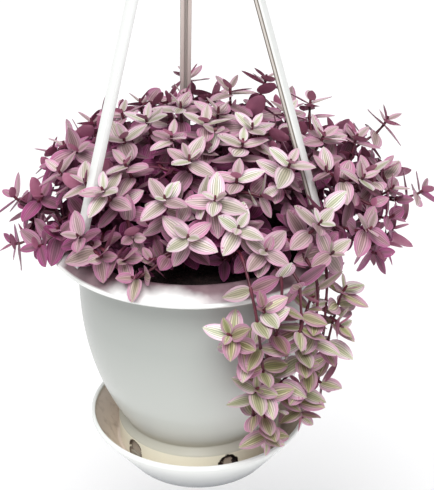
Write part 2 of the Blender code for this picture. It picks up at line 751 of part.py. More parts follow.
def stem_pieces(name, main, side_shoot, side, grow=0.0):
    """The bare main shoot, the side shoot, and the short joint between them."""
    below, above = main.corners(main.branch, grow), main.corners(main.branch + 1, grow)
    follow = (side + 1) % 4
    quad = [below[side], below[follow], above[follow], above[side]]
    joint = (quad + side_shoot.corners(0, grow), ring_walls(range(4), range(4, 8)))
    return [piece_of(name, *shape) for shape in (main.tube(grow), side_shoot.tube(grow), joint)]


def grow_stem(name, taken, chance, routes, pairs):
    """Tries routes for a stem and its side shoot until both have room."""
    for attempt in range(STEM_ATTEMPTS):
        wild = 0.6 + attempt * 0.08
        main_path, across, side_tip, side_aim, branch_share = routes(chance, wild)
        branch_from_tip = path_length(main_path) * branch_share
        main = Shoot(main_path, across, pairs, branch_from_tip, ROOT_DEPTH)
        foot = main.points[main.branch].lerp(main.points[main.branch + 1], 0.5)
        to_tip = side_tip - foot
        sides = [main.side_directions(main.branch, side)[0] for side in range(4)]
        branch_side = max(range(4), key=lambda side: sides[side].dot(to_tip))
        outward, right = main.side_directions(main.branch, branch_side)
        along = main.frames[main.branch][2]
        leave = (outward * 0.8 + along * 0.6).normalized()
        start = foot + outward * STEM_CORNER + leave * JOINT_LENGTH
        side_path = smooth_path([start, side_tip], leave, side_aim, PATH_STEPS)
        side_shoot = Shoot(side_path, right, pairs)
        wide = stem_pieces(name, main, side_shoot, branch_side, STEM_ROOM)
        if not all(has_room(piece, taken) for piece in wide):
            continue
        if meet(piece_of(name, *side_shoot.tube()), piece_of(name, *main.tube(0.0006))):
            continue
        bare = stem_pieces(name, main, side_shoot, branch_side)
        if any(crosses_own(piece, bare[:index]) for index, piece in enumerate(bare)):
            continue
        taken.extend(bare)
        return Stem(name, main, side_shoot, branch_side)
    return None


def mound_point(turn, rise):
    """A point on the lopsided mound: round it by turn, and up by rise, -1 to 1."""
    flat = math.sqrt(1 - rise * rise)
    reach_x = REACH_RIGHT if math.cos(turn) > 0 else REACH_LEFT
    reach_y = REACH_BACK if math.sin(turn) > 0 else REACH_FRONT
    offset = (math.cos(turn) * flat * reach_x, math.sin(turn) * flat * reach_y, rise * REACH_UP)
    return MOUND_CENTRE + Vector(offset)


def mound_aim(point):
    """The way a tip faces: out of the mound and up, so that its leaves lie nearly flat."""
    offset = point - MOUND_CENTRE
    return (Vector((offset.x / 0.13**2, offset.y / 0.10**2, offset.z / 0.085**2)).normalized()
            + Vector((0, 0, 1.50))).normalized()


def mound_tips():
    """Tips spread over the mound by the golden angle, with the marked ones in their places."""
    tips = []
    for index in range(MOUND_TIPS):
        turn = index * GOLDEN_TURN
        lowest = 0.10 if math.sin(turn) < -0.5 else -0.26
        rise = 1 - ((index + 0.5) / MOUND_TIPS) ** 1.25 * (1 - lowest)
        tips.append(mound_point(turn, rise))
    free = list(range(MOUND_TIPS))
    for marked in MARKED_TIPS:
        nearest = min(free, key=lambda index: (tips[index] - Vector(marked)).length)
        tips[nearest] = Vector(marked)
        free.remove(nearest)
    return tips


def tip_pairs(tips):
    """Neighbouring tips, two by two, from the outside of the mound inwards."""
    left = sorted(range(len(tips)), key=lambda index: tips[index].z)
    while left:
        first = left.pop(0)
        second = min(left, key=lambda index: (tips[index] - tips[first]).length)
        left.remove(second)
        yield tips[first], tips[second]


ROOT_REACH = 0.066


def rooted_path(root, points, last_pull, lift):
    """A path that comes straight up out of its hole and then runs through points."""
    path = smooth_path([root] + points, Vector((0, 0, lift)), last_pull, PATH_STEPS)
    return [root - Vector((0, 0, ROOT_DEPTH))] + path


def shaken(point, chance, wild):
    return point + Vector([SHAKE * chance.gauss(0, wild) for _ in range(3)])


def mound_routes(main_tip, side_tip):
    def routes(chance, wild):
        flat = Vector((main_tip.x, main_tip.y, 0))
        middle = (flat + Vector((side_tip.x, side_tip.y, 0))) / 2
        reach = min(ROOT_REACH, middle.length * 0.60 + 0.004 * chance.gauss(0, wild))
        turn = math.atan2(middle.y, middle.x) + 0.10 * chance.gauss(0, wild)
        root = Vector((reach * math.cos(turn), reach * math.sin(turn), 0))
        root.z = soil_top(root.x, root.y) + CLEAR
        lift = 1.0 + 0.8 * max(0.0, (0.215 - main_tip.z) / 0.05) + 0.2 * abs(chance.gauss(0, wild))
        tip = shaken(main_tip, chance, wild - 0.6)
        path = rooted_path(root, [tip], mound_aim(tip) * 0.8, lift)
        twist = chance.uniform(0, 360)
        across = around(twist).to_3x3() @ Vector((1, 0, 0))
        share = min(0.62, max(0.42, 0.5 + 0.05 * chance.gauss(0, wild)))
        return path, across, shaken(side_tip, chance, wild - 0.6), mound_aim(side_tip) * 0.8, share
    return routes


def trailing_routes(trail):
    main_tip, side_tip = Vector(trail.main_tip), Vector(trail.side_tip)
    out = Vector((main_tip.x, main_tip.y, 0)).normalized()
    side_out = Vector((side_tip.x, side_tip.y, 0)).normalized() * 0.7 + Vector((0, 0, 0.25))

    def routes(chance, wild):
        bend = math.radians(trail.turn) + 0.04 * chance.gauss(0, wild)
        heading = Vector((math.cos(bend), math.sin(bend), 0))
        root = heading * (0.056 + 0.004 * chance.gauss(0, wild))
        root.z = soil_top(root.x, root.y) + CLEAR
        over = heading * 0.086 + Vector((0, 0, 0.192 + 0.003 * chance.gauss(0, wild)))
        outside = heading * (TRAIL_RADIUS + 0.004 * abs(chance.gauss(0, wild))) + Vector((0, 0, 0.172))
        points = [over, outside]
        last_pull = out * 0.75 + Vector((0, 0, 0.10))
        if trail.low:
            low = shaken(Vector(trail.low), chance, wild - 0.6)
            points.append(low)
            last_pull = (main_tip - low).normalized() * 0.8 + out * 0.3
        elif main_tip.z < 0.110:
            points.append(outside.lerp(main_tip, 0.5) + out * 0.002)
        path = rooted_path(root, points + [main_tip], last_pull, 1.0)
        across = around(chance.uniform(0, 360)).to_3x3() @ Vector((1, 0, 0))
        hanging = range(2 * PATH_STEPS, len(path))
        branch = next(index for index in hanging if path[index].z < trail.branch_height)
        share = path_length(path[branch:]) / path_length(path) + 0.02 * chance.gauss(0, wild)
        share = min(0.70, max(0.10, share))
        return path, across, shaken(side_tip, chance, wild - 0.6), side_out, share
    return routes


def grow_plant():
    """Every stem with its leaves, in the order in which they find room."""
    taken = guards()
    stems = []
    for index, trail in enumerate(TRAILING_TIPS):
        name = f"trailing_stem_{index + 1}"
        stems.append(grow_stem(name, taken, random.Random(name), trailing_routes(trail), TRAIL_PAIRS))
    for index, (main_tip, side_tip) in enumerate(tip_pairs(mound_tips())):
        name = f"stem_{index + 1:02d}"
        routes = mound_routes(main_tip, side_tip)
        stems.append(grow_stem(name, taken, random.Random(name), routes, MOUND_PAIRS))
    surface = [(0.0005, SOIL_HEIGHT + SOIL_CROWN + 0.001), (BODY_RADIUS, SOIL_HEIGHT + 0.001)]
    taken.append(piece_of("soil", *turned_guard(surface)))
    for stem in stems:
        for number, shoot in enumerate(stem.shoots):
            add_leaves(stem.name, shoot, taken, f"{stem.name} {number}")
    return stems


# Stem meshes
def stem_mesh(stem):
    """One closed mesh: both shoots of a stem, with the leaves growing out of their sides."""
    points = []
    faces = []
    leaf_faces = set()

    def add_ring(corners):
        points.extend(corners)
        return list(range(len(points) - len(corners), len(points)))

    def add_shoot(shoot, start):
        """Adds a shoot from a ring, or from a capped root, and returns its branch's quad."""
        branch_quad = None
        below = start
        for index in range(len(shoot.points) - 1):
            ring = add_ring(shoot.corners(index))
            if below is None:
                faces.append(tuple(reversed(ring)))
            else:
                on_sides = {side for at, side in shoot.leaves if at == index - 1}
                if index - 1 == shoot.branch:
                    on_sides.add(stem.branch_side)
                faces.extend(ring_walls(below, ring, on_sides))
                for side in sorted(on_sides):
                    follow = (side + 1) % 4
                    quad = [below[side], below[follow], ring[follow], ring[side]]
                    if index - 1 == shoot.branch:
                        branch_quad = quad
                    else:
                        add_leaf(shoot.leaves[index - 1, side], quad)
            below = ring
        tip = add_ring([shoot.points[-1]])[0]
        for side in range(4):
            faces.append((below[side], below[(side + 1) % 4], tip))
        return branch_quad

    def add_leaf(leaf, quad):
        blade_points, blade_faces = blade(leaf)
        numbers = add_ring(blade_points[:7]) + quad
        for face in blade_faces:
            leaf_faces.add(len(faces))
            faces.append(tuple(numbers[corner] for corner in face))

    main, side_shoot = stem.shoots
    add_shoot(side_shoot, add_shoot(main, None))
    mesh = bpy.data.meshes.new(stem.name)
    mesh.from_pydata(points, [], faces)
    for number in leaf_faces:
        mesh.polygons[number].material_index = 1
    mesh.update()
    return mesh


def main():
    clear_scene()
    basket = bpy.data.objects.new("basket", None)
    basket.location = (0, 0, -SEAT_HEIGHT)
    bpy.context.collection.objects.link(basket)

    white = plain_material("white gloss plastic", (0.83, 0.84, 0.81), 0.28)
    earth = plain_material("dark potting soil", (0.035, 0.022, 0.022), 0.95)
    bark = plain_material("burgundy stem", (0.19, 0.05, 0.10), 0.55)
    foliage = plain_material("mauve and cream leaf", (0.50, 0.36, 0.44), 0.50)

    stems = grow_plant()
    add_object("pot", pot_mesh(), basket, [white], smooth_angle=35)
    add_object("saucer", saucer_mesh(), basket, [white], smooth_angle=35)
    add_object("soil", soil_mesh(stems), basket, [earth], smooth_angle=35)
    arm = arm_mesh()
    for number, turn in enumerate(ARM_TURNS):
        item = add_object(f"arm_{number + 1}", arm, basket, [white])
        item.rotation_euler.z = math.radians(turn)
    add_object("hook", hook_mesh(), basket, [white], smooth_angle=35)
    for stem in stems:
        add_object(stem.name, stem_mesh(stem), basket, [bark, foliage])


main()
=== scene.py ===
# %% [markdown]
# # A turtle vine in a white hanging basket
#
# The real object is a moulded plastic hanging pot with a saucer, three hanger arms
# and a hook, full of dark soil, from which a dense mound of small striped leaves
# grows. A bunch of stems trails over the rim at the front right.
#
# The CAD model gives the frame: every place and size comes from it. This lesson
# puts the looks on top. It grows the same plant once more from the same rules and
# the same seeds, so each fine leaf sits exactly where its plain CAD blade does.

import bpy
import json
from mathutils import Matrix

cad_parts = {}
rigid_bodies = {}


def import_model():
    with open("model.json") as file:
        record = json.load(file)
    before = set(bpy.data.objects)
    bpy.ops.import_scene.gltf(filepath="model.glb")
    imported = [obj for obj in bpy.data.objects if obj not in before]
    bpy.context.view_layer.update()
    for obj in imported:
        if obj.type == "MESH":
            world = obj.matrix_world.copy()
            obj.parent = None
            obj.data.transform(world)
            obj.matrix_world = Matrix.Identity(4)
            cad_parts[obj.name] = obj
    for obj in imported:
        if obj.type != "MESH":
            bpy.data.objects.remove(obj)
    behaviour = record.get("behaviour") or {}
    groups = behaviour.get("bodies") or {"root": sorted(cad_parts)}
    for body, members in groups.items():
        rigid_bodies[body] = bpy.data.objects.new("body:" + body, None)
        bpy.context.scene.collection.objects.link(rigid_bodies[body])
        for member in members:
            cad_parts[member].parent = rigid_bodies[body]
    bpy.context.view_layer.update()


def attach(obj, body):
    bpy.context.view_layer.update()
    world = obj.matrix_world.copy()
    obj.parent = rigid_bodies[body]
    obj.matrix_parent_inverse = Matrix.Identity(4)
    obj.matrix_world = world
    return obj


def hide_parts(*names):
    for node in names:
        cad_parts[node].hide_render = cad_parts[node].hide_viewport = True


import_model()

# %% Bring in Blender's modules
import json
import math
import random
from collections import namedtuple

import bmesh
import bpy
from mathutils import Matrix, Vector, noise
from mathutils.bvhtree import BVHTree

# %% [markdown]
# ## How a piece is finished
#
# The CAD model hangs from the world's origin, but a pot is easier to think about
# from its foot up. So every shape here is made by its height above a level just under
# the foot, and moved down by one named height at the very end. Only the saucer's bowl
# goes below that level. An empty parent could do the same, but then an exported
# pattern would slide over the surface, so the move goes into the mesh itself.

# %% Finish a piece
HOOK_CENTRE = 0.5035
HOOK_RADIUS = 0.0145
HOOK_WIRE = 0.0025
SEAT_HEIGHT = HOOK_CENTRE + HOOK_RADIUS - HOOK_WIRE


def finish_piece(name, mesh, slot, *nodes):
    """Adds a mesh to the scene as a piece that stands for some CAD nodes."""
    mesh.transform(Matrix.Translation((0, 0, -SEAT_HEIGHT)))
    piece = bpy.data.objects.new(name, mesh)
    bpy.context.collection.objects.link(piece)
    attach(piece, "root")
    if nodes:
        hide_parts(*nodes)
    print(f"{name}: {len(mesh.polygons)} faces, stands for {len(nodes)} nodes")


# %% [markdown]
# ## Small helpers for node trees
#
# A material and a Geometry Nodes tree are both made of nodes and links. One helper
# adds a node and fills its sockets: a socket gets either a plain value or a link
# from another node's output. That keeps each tree readable from top to bottom. A
# second one opens a new tree with named sockets, for a shared effect or a modifier.

# %% Helpers for nodes
def add_node(tree, kind, inputs=(), **settings):
    """Adds a node. Inputs are (socket, value or output) pairs."""
    made = tree.nodes.new(kind)
    for name, value in settings.items():
        setattr(made, name, value)
    for socket, value in inputs:
        if isinstance(value, bpy.types.NodeSocket):
            tree.links.new(value, made.inputs[socket])
        else:
            made.inputs[socket].default_value = value
    return made


def new_tree(kind, name, inputs, outputs):
    """A node tree with named inputs and outputs. Each is (name, kind of socket)."""
    tree = bpy.data.node_groups.new(name, kind + "NodeTree")
    for in_out, sockets in (("INPUT", inputs), ("OUTPUT", outputs)):
        for label, socket in sockets:
            tree.interface.new_socket(label, in_out=in_out, socket_type="NodeSocket" + socket)
    if kind == "Geometry":
        tree.is_modifier = True
    return tree


def maths(tree, operation, first, second=0.0, third=0.0):
    """The output of one Math node."""
    values = ((0, first), (1, second), (2, third))
    return add_node(tree, "ShaderNodeMath", values, operation=operation).outputs[0]


def mixed(tree, share, first, second):
    """The output of a colour mix: first where share is 0, second where it is 1."""
    values = ((0, share), (6, first), (7, second))
    return add_node(tree, "ShaderNodeMix", values, data_type="RGBA").outputs[2]


def paint(red, green, blue):
    """A colour as a painter names it, 0 to 255 a channel, in Blender's linear light."""
    linear = [(value / 255) ** 2.2 for value in (red, green, blue)]
    return (*linear, 1.0)


def between(tree, value, low, high, at_low=0.0, at_high=1.0):
    """A number carried from one range to another, and held at its ends."""
    inputs = ((0, value), (1, low), (2, high), (3, at_low), (4, at_high))
    return add_node(tree, "ShaderNodeMapRange", inputs).outputs[0]


def ramp(tree, share, *stops):
    """A colour ramp with stops of (place, colour)."""
    made = add_node(tree, "ShaderNodeValToRGB", ((0, share),))
    elements = made.color_ramp.elements
    while len(elements) < len(stops):
        elements.new(0.5)
    for element, (place, colour) in zip(elements, stops):
        element.position = place
        element.color = colour
    return made.outputs[0]


def new_material(name, **settings):
    """An empty material with its Principled shader, whose plain sockets are set by name."""
    material = bpy.data.materials.new(name)
    material.use_nodes = True
    shader = material.node_tree.nodes["Principled BSDF"]
    for socket, value in settings.items():
        shader.inputs[socket.replace("_", " ")].default_value = value
    return material, material.node_tree, shader


# %% [markdown]
# ## A shared effect: patches
#
# Nothing real is the same all over: plastic is stained, leaves are blotched, soil is
# damp in places. All of them need the same soft patches at their own size, so these
# come from one node group that is built once. It reads Object coordinates, which
# stay fixed on a piece from every side.

# %% Build the patches group
def patches_group():
    inputs = (("Patch size in mm", "Float"), ("Detail", "Float"))
    group = new_tree("Shader", "patches", inputs, (("Patches", "Float"),))
    source = add_node(group, "NodeGroupInput").outputs
    place = add_node(group, "ShaderNodeTexCoord").outputs["Object"]
    scale = maths(group, "DIVIDE", 1000.0, source["Patch size in mm"])
    cloud = add_node(group, "ShaderNodeTexNoise", (
        ("Vector", place), ("Scale", scale), ("Detail", source["Detail"]),
    ))
    add_node(group, "NodeGroupOutput", ((0, cloud.outputs[0]),))
    return group


PATCHES = patches_group()


def patches(tree, size, detail=3.0):
    """Soft patches from 0 to 1, of a size in millimetres."""
    values = (("Patch size in mm", size), ("Detail", detail))
    return add_node(tree, "ShaderNodeGroup", values, node_tree=PATCHES).outputs[0]


print("shared effect:", PATCHES.name)

# %% [markdown]
# ## Two more shared effects: a round place and washed soil
#
# The pot, saucer, arms and soil all stand round one axis, so their stains are easiest
# to place by radius, height and turn. The first group works those three out of the
# Object coordinates. The second says how near a point is to a drain window, where wet
# soil has left its mark on the pot and has itself been washed pale. It is 0 in the
# middle of the window and 1 on the ragged edge of the mark.

# %% Build the round place and washed soil groups
WINDOWS = 5
WINDOW_TURN = -70
WINDOW_MIDDLE = 0.0115
STAIN_HEIGHT = 0.0076
STAIN_NARROWNESS = 5.0
STAIN_RAGGEDNESS = 0.9


def round_place_group():
    outputs = (("Radius", "Float"), ("Height", "Float"), ("Turn", "Float"))
    group = new_tree("Shader", "round place", (), outputs)
    place = add_node(group, "ShaderNodeTexCoord").outputs["Object"]
    x, y, z = add_node(group, "ShaderNodeSeparateXYZ", ((0, place),)).outputs
    squares = maths(group, "ADD", maths(group, "POWER", x, 2.0), maths(group, "POWER", y, 2.0))
    height = maths(group, "ADD", z, SEAT_HEIGHT)
    results = ((0, maths(group, "SQRT", squares)), (1, height), (2, maths(group, "ARCTAN2", y, x)))
    add_node(group, "NodeGroupOutput", results)
    return group


ROUND_PLACE = round_place_group()


def round_place(tree):
    """Radius, height and turn in radians of a surface point."""
    return add_node(tree, "ShaderNodeGroup", node_tree=ROUND_PLACE).outputs[:3]


def washed_soil_group():
    group = new_tree("Shader", "washed soil", (), (("Distance", "Float"),))
    _, height, turn = round_place(group)
    from_window = maths(group, "SUBTRACT", turn, math.radians(WINDOW_TURN))
    near = maths(group, "COSINE", maths(group, "MULTIPLY", from_window, float(WINDOWS)))
    aside = maths(group, "MULTIPLY", maths(group, "SUBTRACT", 1.0, near), STAIN_NARROWNESS)
    above = between(group, height, WINDOW_MIDDLE, WINDOW_MIDDLE + STAIN_HEIGHT)
    apart = maths(group, "ADD", aside, maths(group, "POWER", above, 2.0))
    uneven = maths(group, "SUBTRACT", patches(group, 3.0, 4.0), 0.5)
    distance = maths(group, "MULTIPLY_ADD", uneven, STAIN_RAGGEDNESS, apart)
    add_node(group, "NodeGroupOutput", ((0, distance),))
    return group


WASHED_SOIL = washed_soil_group()


def washed_soil(tree):
    """How far a point is from a drain window's middle: 1 on the edge of its soil stain."""
    return add_node(tree, "ShaderNodeGroup", node_tree=WASHED_SOIL).outputs[0]


print("shared effects:", ROUND_PLACE.name, "and", WASHED_SOIL.name)

# %% [markdown]
# ## White plastic
#
# The pot, saucer, arms and hook are polypropylene: smooth and softly glossy. Some of
# their colour is painted light and shade. The pot's body is painted darker towards the
# collar, a painted shadow of the collar, and darker at the waist, a painted shade. Its
# foot band is painted a brighter cream, a painted light. Its collar is painted pink-grey
# near the leaves, a painted shadow and reflection of them. The saucer is painted grey
# towards its underside and beige inside, both painted shade, the beige in uneven patches,
# and the arms get painted grey lines for the shade of their grooves. An image could hold
# all that, but masks made from radius, height and turn need no unwrapping. One function
# makes the plastic, and each piece hands it a rule for its colour.

# %% Make the plastics
# Turns, in radians, between which the front passes into the left side.
LEFT_FROM = -1.8
LEFT_TO = -2.1
BLACK = paint(0, 0, 0)
WHITE = paint(255, 255, 255)
ARM_APEX_HEIGHT = 0.482
ARM_FOOT_HEIGHT = 0.1706
ARM_FOOT_RADIUS = 0.0935
ARM_SLOPE = ARM_FOOT_RADIUS / (ARM_APEX_HEIGHT - ARM_FOOT_HEIGHT)
ARM_DEPTH = 0.0047
SAUCER_RADIUS = 0.0775
SAUCER_BRIM = 0.0222
SAUCER_BASE = 0.0515
SAUCER_BOTTOM = -0.0116
SAUCER_WALL = 0.0026


def on_foot_band(tree, height):
    """1 on the pot's foot band and 0 above it."""
    return between(tree, height, 0.0199, 0.0192)


def collar_colour(tree, radius, turn, clean):
    """White, with a painted shadow and reflection of the leaves in pink-grey near them. The painted shade
    spreads further at the left and by the bunch, and the outer edge is left clean.
    """
    # Painted shadow and reflection of the leaves: pink-grey over the collar's inner part.
    leaf_shadow_colour = mixed(tree, patches(tree, 9.0), paint(92, 66, 76), paint(156, 134, 138))
    spread = ramp(tree, between(tree, turn, -math.pi, math.pi),
        (0.06, BLACK), (0.10, WHITE), (0.13, WHITE), (0.17, BLACK),
        (0.23, BLACK), (0.29, WHITE), (0.50, WHITE), (0.75, BLACK),
    )
    reach = maths(tree, "MULTIPLY_ADD", patches(tree, 22.0), -0.022, radius)
    reach = maths(tree, "MULTIPLY_ADD", spread, -0.013, reach)
    on_edge = between(tree, radius, 0.0982, 0.0992)
    free = maths(tree, "MAXIMUM", between(tree, reach, 0.0740, 0.0870), on_edge)
    return mixed(tree, free, leaf_shadow_colour, clean)


def foot_colour(tree, height, turn, above):
    """Cream and brighter than the clean plastic, a painted light, with the marks of wet soil round the
    drain windows, paler on the left one.
    """
    # Painted light: the foot band is painted brighter than the rest of the plastic, in place of light on
    # the foot that the saucer shades.
    with_foot_light = mixed(tree, between(tree, height, 0.0200, 0.0192), above, paint(250, 248, 228))
    stain = washed_soil(tree)
    dark = mixed(tree, between(tree, turn, LEFT_FROM, LEFT_TO), paint(24, 20, 18), paint(112, 100, 90))
    soiled = mixed(tree, between(tree, stain, 0.30, 0.55), paint(150, 144, 132), dark)
    share = maths(tree, "MULTIPLY", between(tree, stain, 1.05, 0.90), on_foot_band(tree, height))
    return mixed(tree, share, with_foot_light, soiled)


def pot_colour(tree, clean):
    radius, height, turn = round_place(tree)
    # Painted shade: the body is painted darker from the waist up towards the collar, a painted shadow of
    # the collar and the mound above it.
    body = mixed(tree, between(tree, height, 0.045, 0.115), paint(204, 207, 201), paint(178, 182, 177))
    collar = collar_colour(tree, radius, turn, clean)
    wall = mixed(tree, between(tree, height, 0.150, 0.158), body, collar)
    # Painted shade: a darker grey band at the waist, the shade of the groove above the foot.
    waist = mixed(tree, between(tree, height, 0.034, 0.026), wall, paint(194, 193, 180))
    return foot_colour(tree, height, turn, waist)


def saucer_colour(tree, clean):
    """Painted shade: grey towards the underside, and beige with uneven darker patches on the inside of its
    wall, the shade of the pot over the bowl.
    """
    radius, height, _ = round_place(tree)
    # Painted shade: the outside is painted darker towards the underside.
    outside = mixed(tree, between(tree, height, SAUCER_BOTTOM, 0.020), paint(98, 104, 110), clean)
    flare = (SAUCER_RADIUS - SAUCER_BASE) / (SAUCER_BRIM - SAUCER_BOTTOM)
    at_zero = SAUCER_BASE - SAUCER_BOTTOM * flare - SAUCER_WALL / 2
    middle_of_wall = maths(tree, "MULTIPLY_ADD", height, flare, at_zero)
    in_wall = between(tree, maths(tree, "SUBTRACT", middle_of_wall, radius), -0.0002, 0.0003)
    above_base = between(tree, height, SAUCER_BOTTOM + 0.0006, SAUCER_BOTTOM + 0.0012)
    below_lip = between(tree, height, 0.0240, 0.0222)
    inside = maths(tree, "MULTIPLY", maths(tree, "MULTIPLY", in_wall, below_lip), above_base)
    # Painted shade: the inside of the wall is painted beige, in uneven patches, for the shade of the pot
    # over the bowl.
    marks = between(tree, patches(tree, 9.0, 5.0), 0.52, 0.72, 0.0, 0.5)
    bowl_shade = mixed(tree, marks, paint(208, 194, 182), paint(140, 124, 113))
    return mixed(tree, inside, outside, bowl_shade)


def arm_colour(tree, clean):
    """Painted shade along the arm: two grey lines on the right and back arms, for the shade of the groove
    and the inner face, and a thin one at the inner edge of the left arm.
    """
    radius, height, turn = round_place(tree)
    middle = maths(tree, "MULTIPLY", maths(tree, "SUBTRACT", ARM_APEX_HEIGHT, height), ARM_SLOPE)
    outward = maths(tree, "SUBTRACT", radius, middle)
    across = between(tree, outward, -ARM_DEPTH / 2, ARM_DEPTH / 2)
    # Painted shade: grey lines across the inner part of the arm, where the groove and the inner face fall
    # in shade.
    groove_shade = ramp(tree, across,
        (0.06, paint(236, 224, 216)), (0.08, paint(108, 100, 92)), (0.20, paint(108, 100, 92)),
        (0.27, paint(214, 208, 200)), (0.50, paint(214, 208, 200)), (0.57, paint(112, 104, 96)),
        (0.70, paint(126, 118, 110)), (0.78, paint(246, 248, 246)),
    )
    plain = ramp(tree, across,
        (0.00, paint(200, 192, 184)), (0.05, paint(168, 162, 156)), (0.14, paint(246, 248, 246)),
    )
    lines = mixed(tree, between(tree, turn, -1.2, -1.0), plain, groove_shade)
    return mixed(tree, between(tree, across, 0.80, 0.88), lines, clean)


def white_plastic(name, colour_rule=None):
    material, tree, shader = new_material(name, IOR=1.49, Roughness=0.27)
    cloud = patches(tree, 30.0)
    colour = mixed(tree, cloud, paint(244, 246, 244), paint(234, 236, 232))
    if colour_rule:
        colour = colour_rule(tree, colour)
    tree.links.new(colour, shader.inputs["Base Color"])
    return material


POT_PLASTIC = white_plastic("pot plastic", pot_colour)
SAUCER_PLASTIC = white_plastic("saucer plastic", saucer_colour)
ARM_PLASTIC = white_plastic("arm plastic", arm_colour)
HOOK_PLASTIC = white_plastic("hook plastic")
print("plastics", POT_PLASTIC.name, SAUCER_PLASTIC.name, ARM_PLASTIC.name, HOOK_PLASTIC.name)

# %% [markdown]
# ## Turned pieces
#
# The pot, saucer, soil and hub are round, so each starts as an outline of radius and
# height that is spun about the axis. Blender's Screw modifier could do it, but the
# outline is needed as numbers for the soil as well, so Spin in mesh code is simpler.
# The CAD pot has 30 sides. Here it gets 128, from the same outline, so the rim is
# round up close.

# %% Spin an outline
SIDES = 128


def mesh_from(shape, name):
    mesh = bpy.data.meshes.new(name)
    shape.to_mesh(mesh)
    shape.free()
    return mesh


def turned(outline, name, sides=SIDES):
    """A closed solid turned about Z from an outline of (radius, height)."""
    shape = bmesh.new()
    points = [shape.verts.new((radius, 0, height)) for radius, height in outline]
    edges = []
    for start, end in zip(points, points[1:] + points[:1]):
        if start.co.x > 0 or end.co.x > 0:
            edges.append(shape.edges.new((start, end)))
    bmesh.ops.spin(
        shape, geom=points + edges, axis=(0, 0, 1), cent=(0, 0, 0),
        angle=2 * math.pi, steps=sides, use_merge=True,
    )
    bmesh.ops.remove_doubles(shape, verts=shape.verts, dist=1e-6)
    bmesh.ops.recalc_face_normals(shape, faces=shape.faces)
    return mesh_from(shape, name)


def rounded(outline, radius, steps=3):
    """The outline with each corner cut to a small arc, as a mould leaves it."""
    made = []
    count = len(outline)
    for index in range(count):
        corner = Vector(outline[index])
        before, after = Vector(outline[index - 1]), Vector(outline[(index + 1) % count])
        on_axis = corner.x < 1e-6
        straight = (corner - before).normalized().dot((after - corner).normalized()) > 0.97
        if on_axis or straight:
            made.append(tuple(corner))
            continue
        reach = min(radius, (corner - before).length * 0.4, (after - corner).length * 0.4)
        first = corner + (before - corner).normalized() * reach
        last = corner + (after - corner).normalized() * reach
        for step in range(steps + 1):
            t = step / steps
            point = first * (1 - t) ** 2 + corner * 2 * t * (1 - t) + last * t**2
            made.append(tuple(point))
    return made


def smooth(mesh, angle):
    """Smooth shading, with edges kept sharp where faces meet at more than an angle."""
    mesh.shade_smooth()
    mesh.set_sharp_from_angle(angle=math.radians(angle))
    return mesh


print("sides of a turned piece", SIDES)

# %% [markdown]
# ## Simple solids to cut and join with
#
# Slots, windows, crossbars and grooves are boxes and prisms. Each is an outline that
# is extruded in a bmesh, and a Boolean modifier then cuts it away or joins it on. An
# exact Boolean keeps the piece closed, which a real moulding is.

# %% Cut and join simple solids
def held(mesh):
    """A helper object that holds a mesh while a modifier works on it."""
    holder = bpy.data.objects.new("holder", mesh)
    bpy.context.collection.objects.link(holder)
    return holder


def plain_mesh(*holders):
    """The first helper's mesh after its modifiers, as a plain mesh. All helpers are deleted."""
    bpy.context.view_layer.update()
    graph = bpy.context.evaluated_depsgraph_get()
    result = bpy.data.meshes.new_from_object(holders[0].evaluated_get(graph))
    for holder in holders:
        bpy.data.objects.remove(holder, do_unlink=True)
    return result


def combined(mesh, tool_shape, operation):
    """The mesh after one exact Boolean with a tool shape, which is then dropped."""
    bmesh.ops.recalc_face_normals(tool_shape, faces=tool_shape.faces)
    body = held(mesh)
    tool = held(mesh_from(tool_shape, "tool"))
    boolean = body.modifiers.new("cut", "BOOLEAN")
    boolean.operation = operation
    boolean.object = tool
    return plain_mesh(body, tool)


def add_prism(shape, outline, place, depth):
    """Adds an outline of (x, y), extruded along its own Z, to a bmesh."""
    face = shape.faces.new([shape.verts.new(place @ Vector((x, y, 0))) for x, y in outline])
    grown = bmesh.ops.extrude_face_region(shape, geom=[face])["geom"]
    moved = [item for item in grown if isinstance(item, bmesh.types.BMVert)]
    push = (place.to_3x3() @ Vector((0, 0, 1))).normalized() * depth
    bmesh.ops.translate(shape, verts=moved, vec=push)


def add_box(shape, low, high, place=Matrix()):
    """Adds a box between two corners, in the frame of place, to a bmesh."""
    size = Vector(high) - Vector(low)
    outline = ((0, 0), (size.x, 0), (size.x, size.y), (0, size.y))
    add_prism(shape, outline, place @ Matrix.Translation(low), size.z)


def around(turn_degrees):
    return Matrix.Rotation(math.radians(turn_degrees), 4, "Z")

# %% [markdown]
# ## The pot
#
# One moulding: a foot band with five arched drain windows, a waist, a round body and
# a wide collar that slopes down at the rim. The arms' T feet go up through three
# slots in the collar. The curve of the body and the fall of the collar are formulas,
# so the fine pot can take as many rings as it likes and still match the CAD.

# %% Turn the pot
CLEAR = 0.0003
WALL = 0.0020
COLLAR_RADIUS = 0.100
CREST_RADIUS = 0.087
COLLAR_INNER = 0.0815
CREST_HEIGHT = 0.1717
COLLAR_FALL = 47.3
COLLAR_DIP = 110.0
BODY_RADIUS = 0.0807
SHOULDER_HEIGHT = 0.130
WAIST_RADIUS = 0.0536
WAIST_HEIGHT = 0.025
BODY_CURVE = 2.3
BODY_RINGS = 24
COLLAR_RINGS = 10
FOOT_RADIUS = 0.0578
FOOT_TOP = 0.020
LEDGE_HEIGHT = 0.0024
STUD_HOLE_RADIUS = 0.0044
POT_BOTTOM = LEDGE_HEIGHT + CLEAR
POT_FLOOR = POT_BOTTOM + WALL


def collar_top(radius):
    fall = COLLAR_FALL if radius > CREST_RADIUS else COLLAR_DIP
    return CREST_HEIGHT - fall * (radius - CREST_RADIUS) ** 2


